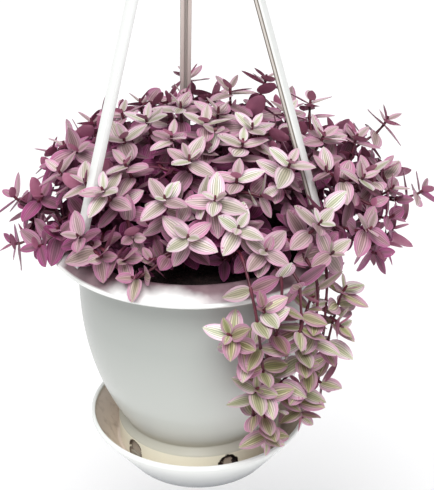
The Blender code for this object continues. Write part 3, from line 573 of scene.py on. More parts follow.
def body_radius(height):
    """Outer radius of the pot's body, from the waist up."""
    left = max(0.0, (SHOULDER_HEIGHT - height) / (SHOULDER_HEIGHT - WAIST_HEIGHT))
    return BODY_RADIUS - (BODY_RADIUS - WAIST_RADIUS) * left ** BODY_CURVE


def body_outline(inset):
    """The waist and body, bottom to top, moved in by inset."""
    step = (SHOULDER_HEIGHT - WAIST_HEIGHT) / BODY_RINGS
    heights = [WAIST_HEIGHT + step * ring for ring in range(BODY_RINGS + 1)]
    return [(body_radius(height) - inset, height) for height in heights]


def collar_outline(inner, outer, drop):
    """The collar's slope from an inner to an outer radius, lowered by drop."""
    radii = [inner + (outer - inner) * ring / COLLAR_RINGS for ring in range(COLLAR_RINGS + 1)]
    return [(radius, collar_top(radius) - drop) for radius in radii]


def pot_outline():
    foot = [(STUD_HOLE_RADIUS, POT_BOTTOM), (FOOT_RADIUS, POT_BOTTOM), (FOOT_RADIUS, FOOT_TOP)]
    under = collar_outline(BODY_RADIUS + 0.0023, COLLAR_RADIUS - 0.0016, WALL)
    lip = [(COLLAR_RADIUS - 0.0012, collar_top(COLLAR_RADIUS) - 0.0021)]
    lip.append((COLLAR_RADIUS, collar_top(COLLAR_RADIUS) - 0.0006))
    top = collar_outline(COLLAR_INNER, COLLAR_RADIUS, 0.0)
    inside = [(BODY_RADIUS - WALL, collar_top(COLLAR_INNER) - 0.0020)]
    inside += reversed(body_outline(WALL))
    inside += [(FOOT_RADIUS - WALL, FOOT_TOP - 0.0005), (FOOT_RADIUS - WALL, POT_FLOOR)]
    outside = foot + body_outline(0.0)
    outside.append((BODY_RADIUS, collar_top(BODY_RADIUS + 0.0023) - WALL - 0.0015))
    outline = outside + under + lip + list(reversed(top)) + inside
    outline.append((STUD_HOLE_RADIUS, POT_FLOOR))
    return rounded(outline, 0.0009)


print("points in the pot's outline", len(pot_outline()))

# %% [markdown]
# ## Windows and slots
#
# The real foot band has five arched drain windows, and the collar has a slot for each
# arm's tang. They could be modelled face by face, but they are plain holes, so two
# kinds of simple solid are cut away from the turned pot with one exact Boolean.

# %% Cut the windows and slots, and finish the pot
WINDOW_WIDTH = 0.014
WINDOW_SILL = 0.008
WINDOW_SPRING = 0.0110
ARM_TURNS = (94.7, 214.7, 334.7)
ARM_WIDTH = 0.0075
TANG_THICKNESS = 0.0026
SLOT_GAP = 0.0003


def add_slot(cuts, turn, radius, low, high):
    """The slot that an arm's tang goes through."""
    half_width = ARM_WIDTH / 2 + SLOT_GAP
    half_depth = TANG_THICKNESS / 2 + SLOT_GAP
    corner = (radius + half_depth, half_width, high)
    add_box(cuts, (radius - half_depth, -half_width, low), corner, around(turn))


def pot_cuts():
    cuts = bmesh.new()
    half = WINDOW_WIDTH / 2
    arch = [(-half, WINDOW_SILL), (half, WINDOW_SILL)]
    for step in range(9):
        angle = math.pi * step / 8
        arch.append((half * math.cos(angle), WINDOW_SPRING + half * math.sin(angle)))
    upright = Matrix(((0, 0, 1, FOOT_RADIUS - 0.005), (1, 0, 0, 0), (0, 1, 0, 0), (0, 0, 0, 1)))
    for window in range(WINDOWS):
        add_prism(cuts, arch, around(WINDOW_TURN + window * 360 / WINDOWS) @ upright, 0.008)
    for turn in ARM_TURNS:
        add_slot(cuts, turn, ARM_FOOT_RADIUS, CREST_HEIGHT - 0.015, CREST_HEIGHT + 0.005)
    return cuts


pot_shape = combined(turned(pot_outline(), "pot"), pot_cuts(), "DIFFERENCE")
pot_shape.materials.append(POT_PLASTIC)
finish_piece("fine_pot", smooth(pot_shape, 40), "white_plastic", "pot")

# %% [markdown]
# ## The saucer
#
# A flared bowl with a rounded lip that clips under the pot, whose foot stands on a
# ledge in it. Its inside is painted beige with uneven darker patches, a painted shade
# of the pot over the bowl, which its plastic's colour rule gives it.

# %% Turn the saucer
SAUCER_HEIGHT = 0.0252
SAUCER_FLOOR = -0.0094
LEDGE_RADIUS = 0.0560
STUD_RADIUS = 0.0040
STUD_HEAD_RADIUS = 0.0055


def saucer_wall(height):
    """Radius of the saucer's flared wall, outside."""
    rise = (height - SAUCER_BOTTOM) / (SAUCER_BRIM - SAUCER_BOTTOM)
    return SAUCER_BASE + (SAUCER_RADIUS - SAUCER_BASE) * rise


def saucer_outline():
    lip_inside = SAUCER_RADIUS - SAUCER_WALL
    outline = [(0, SAUCER_BOTTOM), (SAUCER_BASE, SAUCER_BOTTOM), (SAUCER_RADIUS, SAUCER_BRIM)]
    outline += [(SAUCER_RADIUS - 0.0002, SAUCER_HEIGHT), (lip_inside, SAUCER_HEIGHT)]
    outline += [(lip_inside, SAUCER_BRIM), (saucer_wall(LEDGE_HEIGHT) - SAUCER_WALL, LEDGE_HEIGHT)]
    outline += [(LEDGE_RADIUS, LEDGE_HEIGHT), (saucer_wall(SAUCER_FLOOR) - SAUCER_WALL, SAUCER_FLOOR)]
    outline.append((STUD_RADIUS, SAUCER_FLOOR))
    head_bottom = POT_FLOOR + CLEAR
    outline += [(STUD_RADIUS, head_bottom), (STUD_HEAD_RADIUS, head_bottom)]
    outline += [(STUD_HEAD_RADIUS, head_bottom + 0.001), (0.0038, head_bottom + 0.0025)]
    outline.append((0, head_bottom + 0.0025))
    return rounded(outline, 0.0012)


saucer_shape = turned(saucer_outline(), "saucer")
saucer_shape.materials.append(SAUCER_PLASTIC)
finish_piece("fine_saucer", smooth(saucer_shape, 45), "white_plastic", "saucer")

# %% [markdown]
# ## The hanger arms
#
# Each arm is a slim channel with a groove down its inner face, a T foot under the
# collar and a T head on the hub. The CAD arm has the true shape with sharp edges. A
# bevel gives it the half millimetre of roundness that catches the light.

# %% Make the arms
ARM_HEAD_RADIUS = 0.0080
CROSSBAR_WIDTH = 0.011
GROOVE_WIDTH = 0.0022
GROOVE_DEPTH = 0.0020
GROOVE_TOP = 0.322
HUB_RADIUS = 0.0135
HUB_HEIGHT = 0.4568
HUB_THICKNESS = 0.0030


def arm_radius(height):
    """Distance of an arm's middle from the basket's axis."""
    return (ARM_APEX_HEIGHT - height) * ARM_SLOPE


def arm_height(radius):
    return ARM_APEX_HEIGHT - radius / ARM_SLOPE


def add_upright(shape, outline, width):
    """Adds an outline of (radius, height), extruded to a width centred on Y, to a bmesh."""
    place = Matrix(((1, 0, 0, 0), (0, 0, -1, width / 2), (0, 1, 0, 0), (0, 0, 0, 1)))
    add_prism(shape, outline, place, width)


def arm_mesh():
    """A channel from the collar to the hub, in the X-Z plane, with a crossbar at each end."""
    half_depth = ARM_DEPTH / 2
    half_tang = TANG_THICKNESS / 2
    under_collar = ARM_FOOT_RADIUS + half_tang + CLEAR * 2
    foot_top = collar_top(under_collar) - WALL - CLEAR
    head_bottom = HUB_HEIGHT + HUB_THICKNESS + CLEAR
    beam_top = arm_height(ARM_HEAD_RADIUS)
    middle = (
        (foot_top - half_tang, ARM_FOOT_RADIUS, half_tang),
        (ARM_FOOT_HEIGHT, ARM_FOOT_RADIUS, half_tang),
        (ARM_FOOT_HEIGHT + 0.0010, arm_radius(ARM_FOOT_HEIGHT + 0.0010), half_depth),
        (beam_top - 0.0010, arm_radius(beam_top - 0.0010), half_depth),
        (beam_top, ARM_HEAD_RADIUS, half_tang),
        (head_bottom + half_tang, ARM_HEAD_RADIUS, half_tang),
    )
    outline = [(radius + half, height) for height, radius, half in middle]
    outline += [(radius - half, height) for height, radius, half in reversed(middle)]
    beam = bmesh.new()
    add_upright(beam, outline, ARM_WIDTH)
    bmesh.ops.recalc_face_normals(beam, faces=beam.faces)
    mesh = mesh_from(beam, "arm")

    bars = bmesh.new()
    for radius, bottom in ((ARM_FOOT_RADIUS, foot_top - TANG_THICKNESS), (ARM_HEAD_RADIUS, head_bottom)):
        low = (radius - half_tang, -CROSSBAR_WIDTH / 2, bottom)
        high = (radius + half_tang, CROSSBAR_WIDTH / 2, bottom + TANG_THICKNESS)
        add_box(bars, low, high)
    mesh = combined(mesh, bars, "UNION")

    groove = bmesh.new()
    bottom = ARM_FOOT_HEIGHT + 0.004
    floor = GROOVE_DEPTH - half_depth
    outline = [(arm_radius(bottom) - 0.006, bottom), (arm_radius(bottom) + floor, bottom)]
    outline += [(arm_radius(GROOVE_TOP) + floor, GROOVE_TOP)]
    outline += [(arm_radius(GROOVE_TOP) - 0.006, GROOVE_TOP)]
    add_upright(groove, outline, GROOVE_WIDTH)
    return combined(mesh, groove, "DIFFERENCE")


def bevelled(mesh, width):
    """The mesh with its sharp edges rounded."""
    shape = bmesh.new()
    shape.from_mesh(mesh)
    bmesh.ops.dissolve_limit(shape, angle_limit=0.02, verts=shape.verts, edges=shape.edges)
    sharp = [edge for edge in shape.edges if edge.is_manifold and edge.calc_face_angle() > 0.5]
    bmesh.ops.bevel(
        shape, geom=sharp, offset=width, segments=2, affect="EDGES", profile=0.5,
        clamp_overlap=True,
    )
    return mesh_from(shape, mesh.name)


arm_shape = smooth(bevelled(arm_mesh(), 0.0004), 35)
arm_shape.materials.append(ARM_PLASTIC)
for number, turn in enumerate(ARM_TURNS, 1):
    one_arm = arm_shape.copy()
    one_arm.transform(around(turn))
    finish_piece(f"fine_arm_{number}", one_arm, "white_plastic", f"arm_{number}")

# %% [markdown]
# ## The hub and the hook
#
# The three T heads sit on a small disc, and a round bar grows out of its cone, bends
# aside and closes almost to a ring. The bar follows a path, which is what Curve to
# Mesh is for in Geometry Nodes. The same tree later makes all the stems: it takes a
# line with a thickness at each point and gives it round walls.

# %% Build the tree that gives a line round walls
def carried(tree, name, kind="FLOAT"):
    """A value that the mesh carries at each point or face, inside a Geometry Nodes tree."""
    made = add_node(tree, "GeometryNodeInputNamedAttribute", (("Name", name),), data_type=kind)
    return made.outputs[0]


def end_tree(tree, shape, finish):
    """Ends a tree with real mesh in one finish."""
    real = add_node(tree, "GeometryNodeRealizeInstances", ((0, shape),))
    done = add_node(tree, "GeometryNodeSetMaterial", ((0, real.outputs[0]), ("Material", finish)))
    add_node(tree, "NodeGroupOutput", ((0, done.outputs[0]),))
    return tree


def round_bar_tree():
    inputs = (("Line", "Geometry"), ("Sides", "Int"), ("Finish", "Material"))
    tree = new_tree("Geometry", "round bar along a line", inputs, (("Bar", "Geometry"),))
    source = add_node(tree, "NodeGroupInput").outputs
    line = add_node(tree, "GeometryNodeMeshToCurve", ((0, source["Line"]),))
    circle = add_node(tree, "GeometryNodeCurvePrimitiveCircle", (
        ("Resolution", source["Sides"]), ("Radius", 1.0),
    ))
    bar = add_node(tree, "GeometryNodeCurveToMesh", (
        ("Curve", line.outputs[0]), ("Profile Curve", circle.outputs[0]),
        ("Scale", carried(tree, "thickness")), ("Fill Caps", True),
    ))
    soft = add_node(tree, "GeometryNodeSetShadeSmooth", ((0, bar.outputs[0]),))
    return end_tree(tree, soft.outputs[0], source["Finish"])


ROUND_BAR = round_bar_tree()


def run_tree(tree, mesh, values):
    """Runs a tree on a mesh, with values for its named inputs, and returns a plain mesh."""
    holder = held(mesh)
    modifier = holder.modifiers.new("tree", "NODES")
    modifier.node_group = tree
    for socket in tree.interface.items_tree:
        if socket.item_type == "SOCKET" and socket.in_out == "INPUT" and socket.name in values:
            modifier[socket.identifier] = values[socket.name]
    return plain_mesh(holder)


def carry(mesh, name, kind, values):
    """Makes a mesh carry a value at each point."""
    mesh.attributes.new(name, kind, "POINT").data.foreach_set("value", values)


def lines_mesh(lines):
    """One mesh of open lines, each a list of (point, thickness)."""
    points = []
    edges = []
    for line in lines:
        edges += [(len(points) + step, len(points) + step + 1) for step in range(len(line) - 1)]
        points += [point for point, _ in line]
    mesh = bpy.data.meshes.new("lines")
    mesh.from_pydata(points, edges, [])
    carry(mesh, "thickness", "FLOAT", [thick for line in lines for _, thick in line])
    return mesh


print("tree:", ROUND_BAR.name, "with", len(ROUND_BAR.nodes), "nodes")

# %% [markdown]
# ## The hook's path
#
# The bar goes up the shank, leans aside and runs round an arc to the mouth. A curve
# object could hold that line, but the stems need the same maths for their own routes:
# a smooth path through points, places measured back from its tip, and a frame that is
# carried along without twisting. So the path is worked out in plain code.

# %% Bend the hook
def smooth_path(points, first_pull, last_pull, steps):
    """A smooth curve through points. The pulls are its directions at the two
    ends, and their lengths say how far each end keeps its direction."""
    pulls = [first_pull * (points[1] - points[0]).length]
    for before, after in zip(points, points[2:]):
        pulls.append((after - before) / 2)
    pulls.append(last_pull * (points[-1] - points[-2]).length)
    path = [points[0].copy()]
    for index in range(len(points) - 1):
        start, end = points[index], points[index + 1]
        leave, arrive = pulls[index], pulls[index + 1]
        for step in range(1, steps + 1):
            t = step / steps
            path.append(
                start * (2 * t**3 - 3 * t**2 + 1) + leave * (t**3 - 2 * t**2 + t)
                + end * (3 * t**2 - 2 * t**3) + arrive * (t**3 - t**2)
            )
    return path


def path_length(path):
    return sum((end - start).length for start, end in zip(path, path[1:]))


def point_from_tip(path, distance):
    """The point on a path that lies a distance back from its end."""
    for end, start in zip(reversed(path), reversed(path[:-1])):
        step = (end - start).length
        if distance <= step:
            return end.lerp(start, distance / step)
        distance -= step
    return path[0].copy()


def frames_along(points, across):
    """A frame of three directions at each point, carried along without twist."""
    frames = []
    for index in range(len(points)):
        before = points[max(index - 1, 0)]
        after = points[min(index + 1, len(points) - 1)]
        along = (after - before).normalized()
        across = (across - along * across.dot(along)).normalized()
        frames.append((across, along.cross(across), along))
    return frames


def hook_route():
    """The middle of the hook's bar: up the shank, aside, and round to the mouth."""
    centre = Vector((0, 0, HOOK_CENTRE))
    shank_top = Vector((0, 0, HOOK_CENTRE - HOOK_RADIUS - 0.008))
    first, last = math.radians(-50), math.radians(205)
    arc = []
    for step in range(10):
        angle = first + (last - first) * step / 9
        arc.append(centre + Vector((math.cos(angle), 0, math.sin(angle))) * HOOK_RADIUS)
    joining = smooth_path([shank_top, arc[0]], Vector((0, 0, 1.3)), (arc[1] - arc[0]).normalized(), 4)
    return [Vector((0, 0, HUB_HEIGHT + HUB_THICKNESS / 2))] + joining + arc[1:]


def resampled(path, spacing):
    """Points along a path at an even spacing, from its start to its end."""
    length = path_length(path)
    count = max(2, round(length / spacing))
    return [point_from_tip(path, length * (1 - step / count)) for step in range(count + 1)]


def hub_outline():
    top = HUB_HEIGHT + HUB_THICKNESS
    outline = [(0, HUB_HEIGHT), (HUB_RADIUS, HUB_HEIGHT), (HUB_RADIUS, top), (0.0058, top)]
    outline += [(0.0050, top + 0.0018), (0.0043, top + 0.0045), (0.0036, top + 0.0075)]
    outline += [(0.0030, top + 0.010), (0, top + 0.010)]
    return rounded(outline, 0.0008)


def hub_cuts():
    cuts = bmesh.new()
    for turn in ARM_TURNS:
        add_slot(cuts, turn, ARM_HEAD_RADIUS, HUB_HEIGHT - 0.003, HUB_HEIGHT + HUB_THICKNESS + 0.003)
    return cuts


BAR_SPACING = 0.0012
route = hook_route()
onward = (route[6] - route[5]).normalized()
shank = resampled(smooth_path(route[:6], Vector((0, 0, 1)), onward, 6), BAR_SPACING)
arc = route[6:]
first_pull = (arc[0] - shank[-1]).normalized()
last_pull = (arc[-1] - arc[-2]).normalized()
bend = resampled(smooth_path([shank[-1]] + arc, first_pull, last_pull, 6), BAR_SPACING)
bar = [(point, HOOK_WIRE) for point in shank[4:] + bend[1:]]
tip = bar[-1][0]
onward = (tip - bar[-2][0]).normalized()
# The last few points draw the bar in to a round end.
for turn in (0.6, 1.1, 1.45):
    bar.append((tip + onward * HOOK_WIRE * math.sin(turn), HOOK_WIRE * math.cos(turn)))
hook_bar = run_tree(ROUND_BAR, lines_mesh([bar]), {"Sides": 24, "Finish": HOOK_PLASTIC})
hub_shape = combined(turned(hub_outline(), "hub", 64), hub_cuts(), "DIFFERENCE")
both = bmesh.new()
both.from_mesh(smooth(hub_shape, 35))
both.from_mesh(hook_bar)
hook_shape = mesh_from(both, "hook")
hook_shape.materials.append(HOOK_PLASTIC)
finish_piece("fine_hook", hook_shape, "white_plastic", "hook")

# %% [markdown]
# ## Growing the same plant again
#
# Each stem of the CAD plant comes from rules with a fixed seed: tips spread over a
# mound by the golden angle, a route from the soil to each tip, and pairs of leaves
# that turn until they have room. Those rules are repeated here unchanged, because
# the same rules with the same seeds give the same plant, leaf for leaf. The plain
# blades of the CAD are used only to test for room. The real looks come after.

# %% Set the plant's sizes
SOIL_HEIGHT = 0.160
SOIL_CROWN = 0.004
ROOT_DEPTH = 0.012
MOUND_CENTRE = Vector((0.005, 0.008, 0.176))
REACH_LEFT = 0.122
REACH_RIGHT = 0.140
REACH_FRONT = 0.092
REACH_BACK = 0.112
REACH_UP = 0.076
MOUND_TIPS = 62
GOLDEN_TURN = math.pi * (3 - math.sqrt(5))
Trail = namedtuple("Trail", "turn low main_tip side_tip branch_height")
MARKED_TIPS = (
    (0.133, 0.045, 0.228), (-0.088, 0.020, 0.224), (0.023, 0.040, 0.256),
    (-0.008, 0.088, 0.247), (0.080, 0.050, 0.241), (0.050, 0.060, 0.254),
    (0.155, 0.010, 0.190), (-0.122, 0.000, 0.195), (-0.058, -0.057, 0.226),
    (-0.019, -0.070, 0.226), (0.012, -0.072, 0.226), (0.037, -0.018, 0.251),
    (0.060, -0.044, 0.237), (-0.005, -0.086, 0.207), (0.026, -0.083, 0.211),
    (0.043, -0.087, 0.197), (0.069, -0.072, 0.209), (0.111, -0.053, 0.194),
    (0.081, -0.076, 0.189), (0.131, -0.014, 0.205),
)
TRAILING_TIPS = (
    Trail(-69, None, (0.046, -0.100, 0.062), (0.037, -0.107, 0.109), 0.084),
    Trail(-45, None, (0.068, -0.085, 0.070), (0.085, -0.072, 0.086), 0.102),
    Trail(-57, None, (0.069, -0.091, 0.114), (0.062, -0.098, 0.140), 0.152),
    Trail(-38, (0.084, -0.070, 0.110), (0.096, -0.062, 0.156), (0.097, -0.070, 0.128), 0.135),
    Trail(-63, (0.046, -0.098, 0.120), (0.018, -0.110, 0.151), (0.042, -0.103, 0.166), 0.150),
)
TRAIL_RADIUS = 0.107
STEM_CORNER = 0.00125
ROOT_CORNER = 0.00150
LEAF_KEEL = 0.0013
LEAF_OUTLINE = ((0.34, 0.92), (0.68, 0.86))
LEAF_BREADTH = 0.64
NODE_LENGTH = 0.0022
BRANCH_LENGTH = 0.0030
LONGEST_STEP = 0.044
PATH_STEPS = 48
JOINT_LENGTH = 0.0030
ROOM = 0.00035
STEM_ROOM = 0.00055
SHAKE = 0.0025
Pair = namedtuple("Pair", "from_tip side length lift")
MOUND_PAIRS = (
    Pair(0.0010, 1, 0.0105, 54),
    Pair(0.0032, 0, 0.0165, 24),
    Pair(0.0054, 1, 0.0190, 6),
    Pair(0.0130, 0, 0.0185, -4),
)
TRAIL_PAIRS = MOUND_PAIRS + (
    Pair(0.0270, 1, 0.0190, 12),
    Pair(0.0410, 0, 0.0185, 10),
    Pair(0.0640, 1, 0.0185, 10),
)
Leaf = namedtuple("Leaf", "root foot along right normal length width arch face")
STEM_ATTEMPTS = 150
LEAF_ATTEMPTS = 20
ROOT_REACH = 0.066

print("tips on the mound", MOUND_TIPS, "and trailing stems", len(TRAILING_TIPS))

# %% [markdown]
# ## Room to grow
#
# Leaves of a real plant push each other aside. Here a leaf or stem is tested against
# all that has been placed, and tries again if it meets anything. A physics run could
# do the same, but slowly. Blender's BVHTree holds a shape's faces so that two shapes
# can be tested for a crossing in no time.

# %% Test for room
Piece = namedtuple("Piece", "owner centre reach tree corners")


def piece_of(owner, points, faces):
    """A closed mesh that takes up room, with what it belongs to."""
    centre = sum(points, Vector()) / len(points)
    reach = max((point - centre).length for point in points)
    keys = [tuple(round(value, 7) for value in point) for point in points]
    corners = [{keys[number] for number in face} for face in faces]
    return Piece(owner, centre, reach, BVHTree.FromPolygons(points, faces), corners)


def meet(one, other, joined=False):
    """Whether two pieces meet, not counting the faces that share a corner if they are joined."""
    if (one.centre - other.centre).length > one.reach + other.reach:
        return False
    pairs = one.tree.overlap(other.tree)
    if joined:
        return any(one.corners[here].isdisjoint(other.corners[there]) for here, there in pairs)
    return bool(pairs)


def has_room(piece, taken):
    """Whether a piece meets nothing but what has the same owner."""
    return not any(meet(piece, other) for other in taken if other.owner != piece.owner)


def crosses_own(piece, taken):
    """Whether a piece runs through its owner's other pieces, or through itself."""
    own = [other for other in taken if other.owner == piece.owner]
    return any(meet(piece, other, joined=True) for other in own + [piece])


def ring_walls(a, b):
    """The faces between two rings of four corners, two a side."""
    return [
        (a[0], a[1], b[1]), (a[0], b[1], b[0]), (a[1], a[2], b[2]), (a[1], b[2], b[1]),
        (a[2], a[3], b[2]), (a[3], b[3], b[2]), (a[3], a[0], b[0]), (a[3], b[0], b[3]),
    ]


def soil_top(x, y):
    """Height of the soil's surface, which is crowned a little."""
    share = min(1.0, math.hypot(x, y) / (BODY_RADIUS - WALL))
    return SOIL_HEIGHT + SOIL_CROWN * (1 - share)


def turned_guard(outline):
    """Points and faces of a plain shell about Z, wider than the piece it guards."""
    points = []
    faces = []
    sides = 24
    for turn in range(sides):
        angle = 2 * math.pi * turn / sides
        points += [Vector((r * math.cos(angle), r * math.sin(angle), z)) for r, z in outline]
    count = len(outline)
    for turn in range(sides):
        here, there = turn * count, (turn + 1) % sides * count
        for low in range(count - 1):
            faces.append((here + low, there + low, there + low + 1, here + low + 1))
    return points, faces


def guards():
    """What the stems have to keep clear of: pot, saucer and arms."""
    taken = []
    inside = BODY_RADIUS - WALL - 0.0008
    pot = [(inside, SOIL_HEIGHT - 0.002), (inside, CREST_HEIGHT - 0.002)]
    pot += [(CREST_RADIUS, CREST_HEIGHT + 0.0015), (0.094, CREST_HEIGHT - 0.0005)]
    pot += [(COLLAR_RADIUS + 0.0022, 0.1645), (COLLAR_RADIUS + 0.0012, 0.1605)]
    pot += [(BODY_RADIUS + 0.0015, 0.1605), (BODY_RADIUS + 0.0015, 0.120)]
    pot += [(0.0790, 0.086), (0.0690, 0.052), (0.0590, WAIST_HEIGHT), (0.0590, 0.004)]
    taken.append(piece_of("pot", *turned_guard(pot)))
    lip = SAUCER_RADIUS + 0.0011
    saucer = [(0.060, 0.003), (lip, SAUCER_HEIGHT + 0.001), (lip, 0.018), (0.068, 0.0)]
    taken.append(piece_of("saucer", *turned_guard(saucer)))
    foot, head = ARM_FOOT_HEIGHT - 0.009, ARM_APEX_HEIGHT - 0.030
    for turn in ARM_TURNS:
        points = []
        widths = (CROSSBAR_WIDTH, CROSSBAR_WIDTH, ARM_WIDTH, ARM_WIDTH)
        for height, wide in zip((foot, foot + 0.006, foot + 0.007, head), widths):
            middle = arm_radius(height)
            deep = ARM_DEPTH / 2 + 0.0005
            half = wide / 2 + 0.0005
            for x, y in ((-deep, -half), (deep, -half), (deep, half), (-deep, half)):
                points.append(around(turn) @ Vector((middle + x, y, height)))
        faces = []
        for first in (0, 4, 8):
            faces += ring_walls(range(first, first + 4), range(first + 4, first + 8))
        taken.append(piece_of("arm", points, faces))
    return taken


print("guards", [guard.owner for guard in guards()])

# %% [markdown]
# ## A shoot and its leaves
#
# On this plant the leaves sit in pairs, and each pair is turned a quarter against the
# next. So a shoot is a path with rings across it, one pair of rings for each pair of
# leaves. A leaf stands on one side of the stem between its two rings.

# %% Lay out a shoot
class Shoot:
    """Rings along a path, with one more pair of rings at each pair of leaves."""

    def __init__(self, path, across, pairs, branch_from_tip=None, straight=0.0):
        length = path_length(path)
        self.pairs = [pair for pair in pairs if self.has_place(pair, length - straight, branch_from_tip)]
        marks = [0.0, length, length - straight]
        for pair in self.pairs:
            marks += [pair.from_tip, pair.from_tip + NODE_LENGTH]
        if branch_from_tip is not None:
            marks += [branch_from_tip, branch_from_tip + BRANCH_LENGTH]
        marks = sorted({round(mark, 6) for mark in marks}, reverse=True)
        for start, end in list(zip(marks, marks[1:])):
            steps = math.ceil((start - end) / LONGEST_STEP)
            marks += [start + (end - start) * step / steps for step in range(1, steps)]
        self.marks = sorted(marks, reverse=True)
        self.points = [point_from_tip(path, mark) for mark in self.marks]
        self.frames = frames_along(self.points, across)
        self.branch = None
        if branch_from_tip is not None:
            self.branch = self.ring_at(branch_from_tip + BRANCH_LENGTH)
        self.leaves = {}

    @staticmethod
    def has_place(pair, length, branch_from_tip):
        """Whether a pair stands clear of the shoot's start and of its branch."""
        if pair.from_tip + NODE_LENGTH + 0.004 > length:
            return False
        return branch_from_tip is None or abs(pair.from_tip - branch_from_tip) > 0.006

    def ring_at(self, from_tip):
        return min(range(len(self.marks)), key=lambda index: abs(self.marks[index] - from_tip))

    def corners(self, index, grow=0.0):
        """The four corners of one ring. The last ring is the tip, one point."""
        across, over, _ = self.frames[index]
        share = self.marks[index] / self.marks[0]
        corner = STEM_CORNER + (ROOT_CORNER - STEM_CORNER) * share + grow
        ring = []
        for turn in (225, 315, 45, 135):
            angle = math.radians(turn)
            spoke = across * math.cos(angle) + over * math.sin(angle)
            ring.append(self.points[index] + spoke * corner)
        return ring

    def tube(self, grow=0.0):
        """Points and faces of the bare stem."""
        points = []
        faces = [(3, 2, 1, 0)]
        for index in range(len(self.points) - 1):
            points += self.corners(index, grow)
            if index:
                faces += ring_walls(range(4 * index - 4, 4 * index), range(4 * index, 4 * index + 4))
        last = len(points) - 4
        points.append(self.points[-1] + self.frames[-1][2] * grow)
        faces += [(last + side, last + (side + 1) % 4, last + 4) for side in range(4)]
        return points, faces

    def side_directions(self, index, side):
        """Outward, and to the right seen from outside, on one side of the stem."""
        across, over, _ = self.frames[index]
        return ((-over, across), (across, over), (over, -across), (-across, -over))[side]


print("levels of leaves on a mound shoot", len(MOUND_PAIRS), "and on a trailing one", len(TRAIL_PAIRS))

# %% [markdown]
# ## A plain blade and its place
#
# A blade is a thin keeled wedge, two rings and a tip, that bends down along an arch.
# Its foot is the face of the stem that it grows from. Each try turns it towards the
# light and shakes it a little, and later tries are wilder and shorter. The fine leaf
# takes the same place and angles.

# %% Shape a plain blade and find its place
# How far the light leans out for each metre from the axis, over and under the rim.
LIGHT_LEAN = 6
LIGHT_LEAN_LOW = 13


def blade_curve(leaf, share):
    """Middle of the blade at a share of its length, and the blade's upright there."""
    bend = leaf.arch * share
    middle = leaf.foot + leaf.along * (leaf.length * share) - leaf.normal * (leaf.length * bend * share)
    upright = (leaf.normal + leaf.along * (2 * bend)).normalized()
    return middle, upright


def blade_ring(leaf, share, half_width, grow):
    """Left edge, right edge and keel of the blade at a share of its length."""
    middle, upright = blade_curve(leaf, share)
    keel = LEAF_KEEL * leaf.face
    aside = leaf.right * (half_width + grow)
    lift = upright * (grow * leaf.face)
    return [middle - aside + lift, middle + aside + lift, middle - upright * keel - lift]


def blade(leaf, grow=0.0):
    """Points and faces of a leaf's blade: two rings, the tip, and the root's four corners."""
    points = []
    for share, breadth in LEAF_OUTLINE:
        points += blade_ring(leaf, share, breadth * leaf.width / 2, grow)
    middle, _ = blade_curve(leaf, 1.0)
    points.append(middle + leaf.along * grow)
    # On an upright leaf the edges are above the keel, else below it.
    if leaf.face > 0:
        left, right, keel = 0, 1, 2
        faces = [(9, 10, 0), (9, 0, 1), (8, 9, 1), (8, 1, 2), (10, 7, 0), (7, 2, 0), (7, 8, 2)]
    else:
        left, right, keel = 1, 0, 2
        faces = [(7, 8, 1), (7, 1, 0), (10, 7, 0), (10, 0, 2), (8, 9, 1), (9, 2, 1), (9, 10, 2)]
    faces += [(right, left, left + 3), (right, left + 3, right + 3), (keel, right, right + 3)]
    faces += [(keel, right + 3, keel + 3), (left, keel, keel + 3), (left, keel + 3, left + 3)]
    faces += [(right + 3, left + 3, 6), (keel + 3, right + 3, 6), (left + 3, keel + 3, 6)]
    return points + leaf.root, faces


def light_at(point):
    """Where the light comes from for a leaf: outwards and up, and more outwards below the rim."""
    outward = Vector((point.x, point.y, 0)) * (LIGHT_LEAN if point.z > CREST_HEIGHT else LIGHT_LEAN_LOW)
    return (outward + Vector((0, 0, 1))).normalized()


def try_leaf(shoot, ring, side, pair, chance, attempt):
    """One way for a leaf to stand on a side of the stem, wilder with each attempt."""
    outward, right = shoot.side_directions(ring, side)
    along_stem = shoot.frames[ring][2]
    root = [shoot.corners(ring)[side], shoot.corners(ring)[(side + 1) % 4]]
    root += [shoot.corners(ring + 1)[(side + 1) % 4], shoot.corners(ring + 1)[side]]
    foot = sum(root, Vector()) / 4
    wild = 1 + attempt * 0.22
    lift = math.radians(pair.lift + chance.gauss(0, 7) * wild)
    swing = math.radians(chance.gauss(0, 9) * wild)
    along = outward * math.cos(lift) + along_stem * math.sin(lift)
    normal = along_stem * math.cos(lift) - outward * math.sin(lift)
    turn = Matrix.Rotation(swing, 3, normal)
    along, right = turn @ along, turn @ right
    light = light_at(foot)
    face = 1 if normal.dot(light) >= -0.15 else -1
    tilt = math.atan2(light.dot(right) * face, abs(light.dot(normal)) + 0.4)
    tilt = max(-0.6, min(0.6, tilt * 0.6 + chance.gauss(0, 0.12) * wild))
    roll = Matrix.Rotation(-tilt * face, 3, along)
    if (roll @ normal).dot(light) * face < normal.dot(light) * face:
        roll = Matrix.Rotation(tilt * face, 3, along)
    normal, right = roll @ normal, roll @ right
    size = pair.length * chance.uniform(0.88, 1.08) * (1 - 0.035 * max(0, attempt - 4))
    arch = chance.uniform(0.04, 0.20) * face
    return Leaf(root, foot, along, right, normal, size, size * LEAF_BREADTH, arch, face)


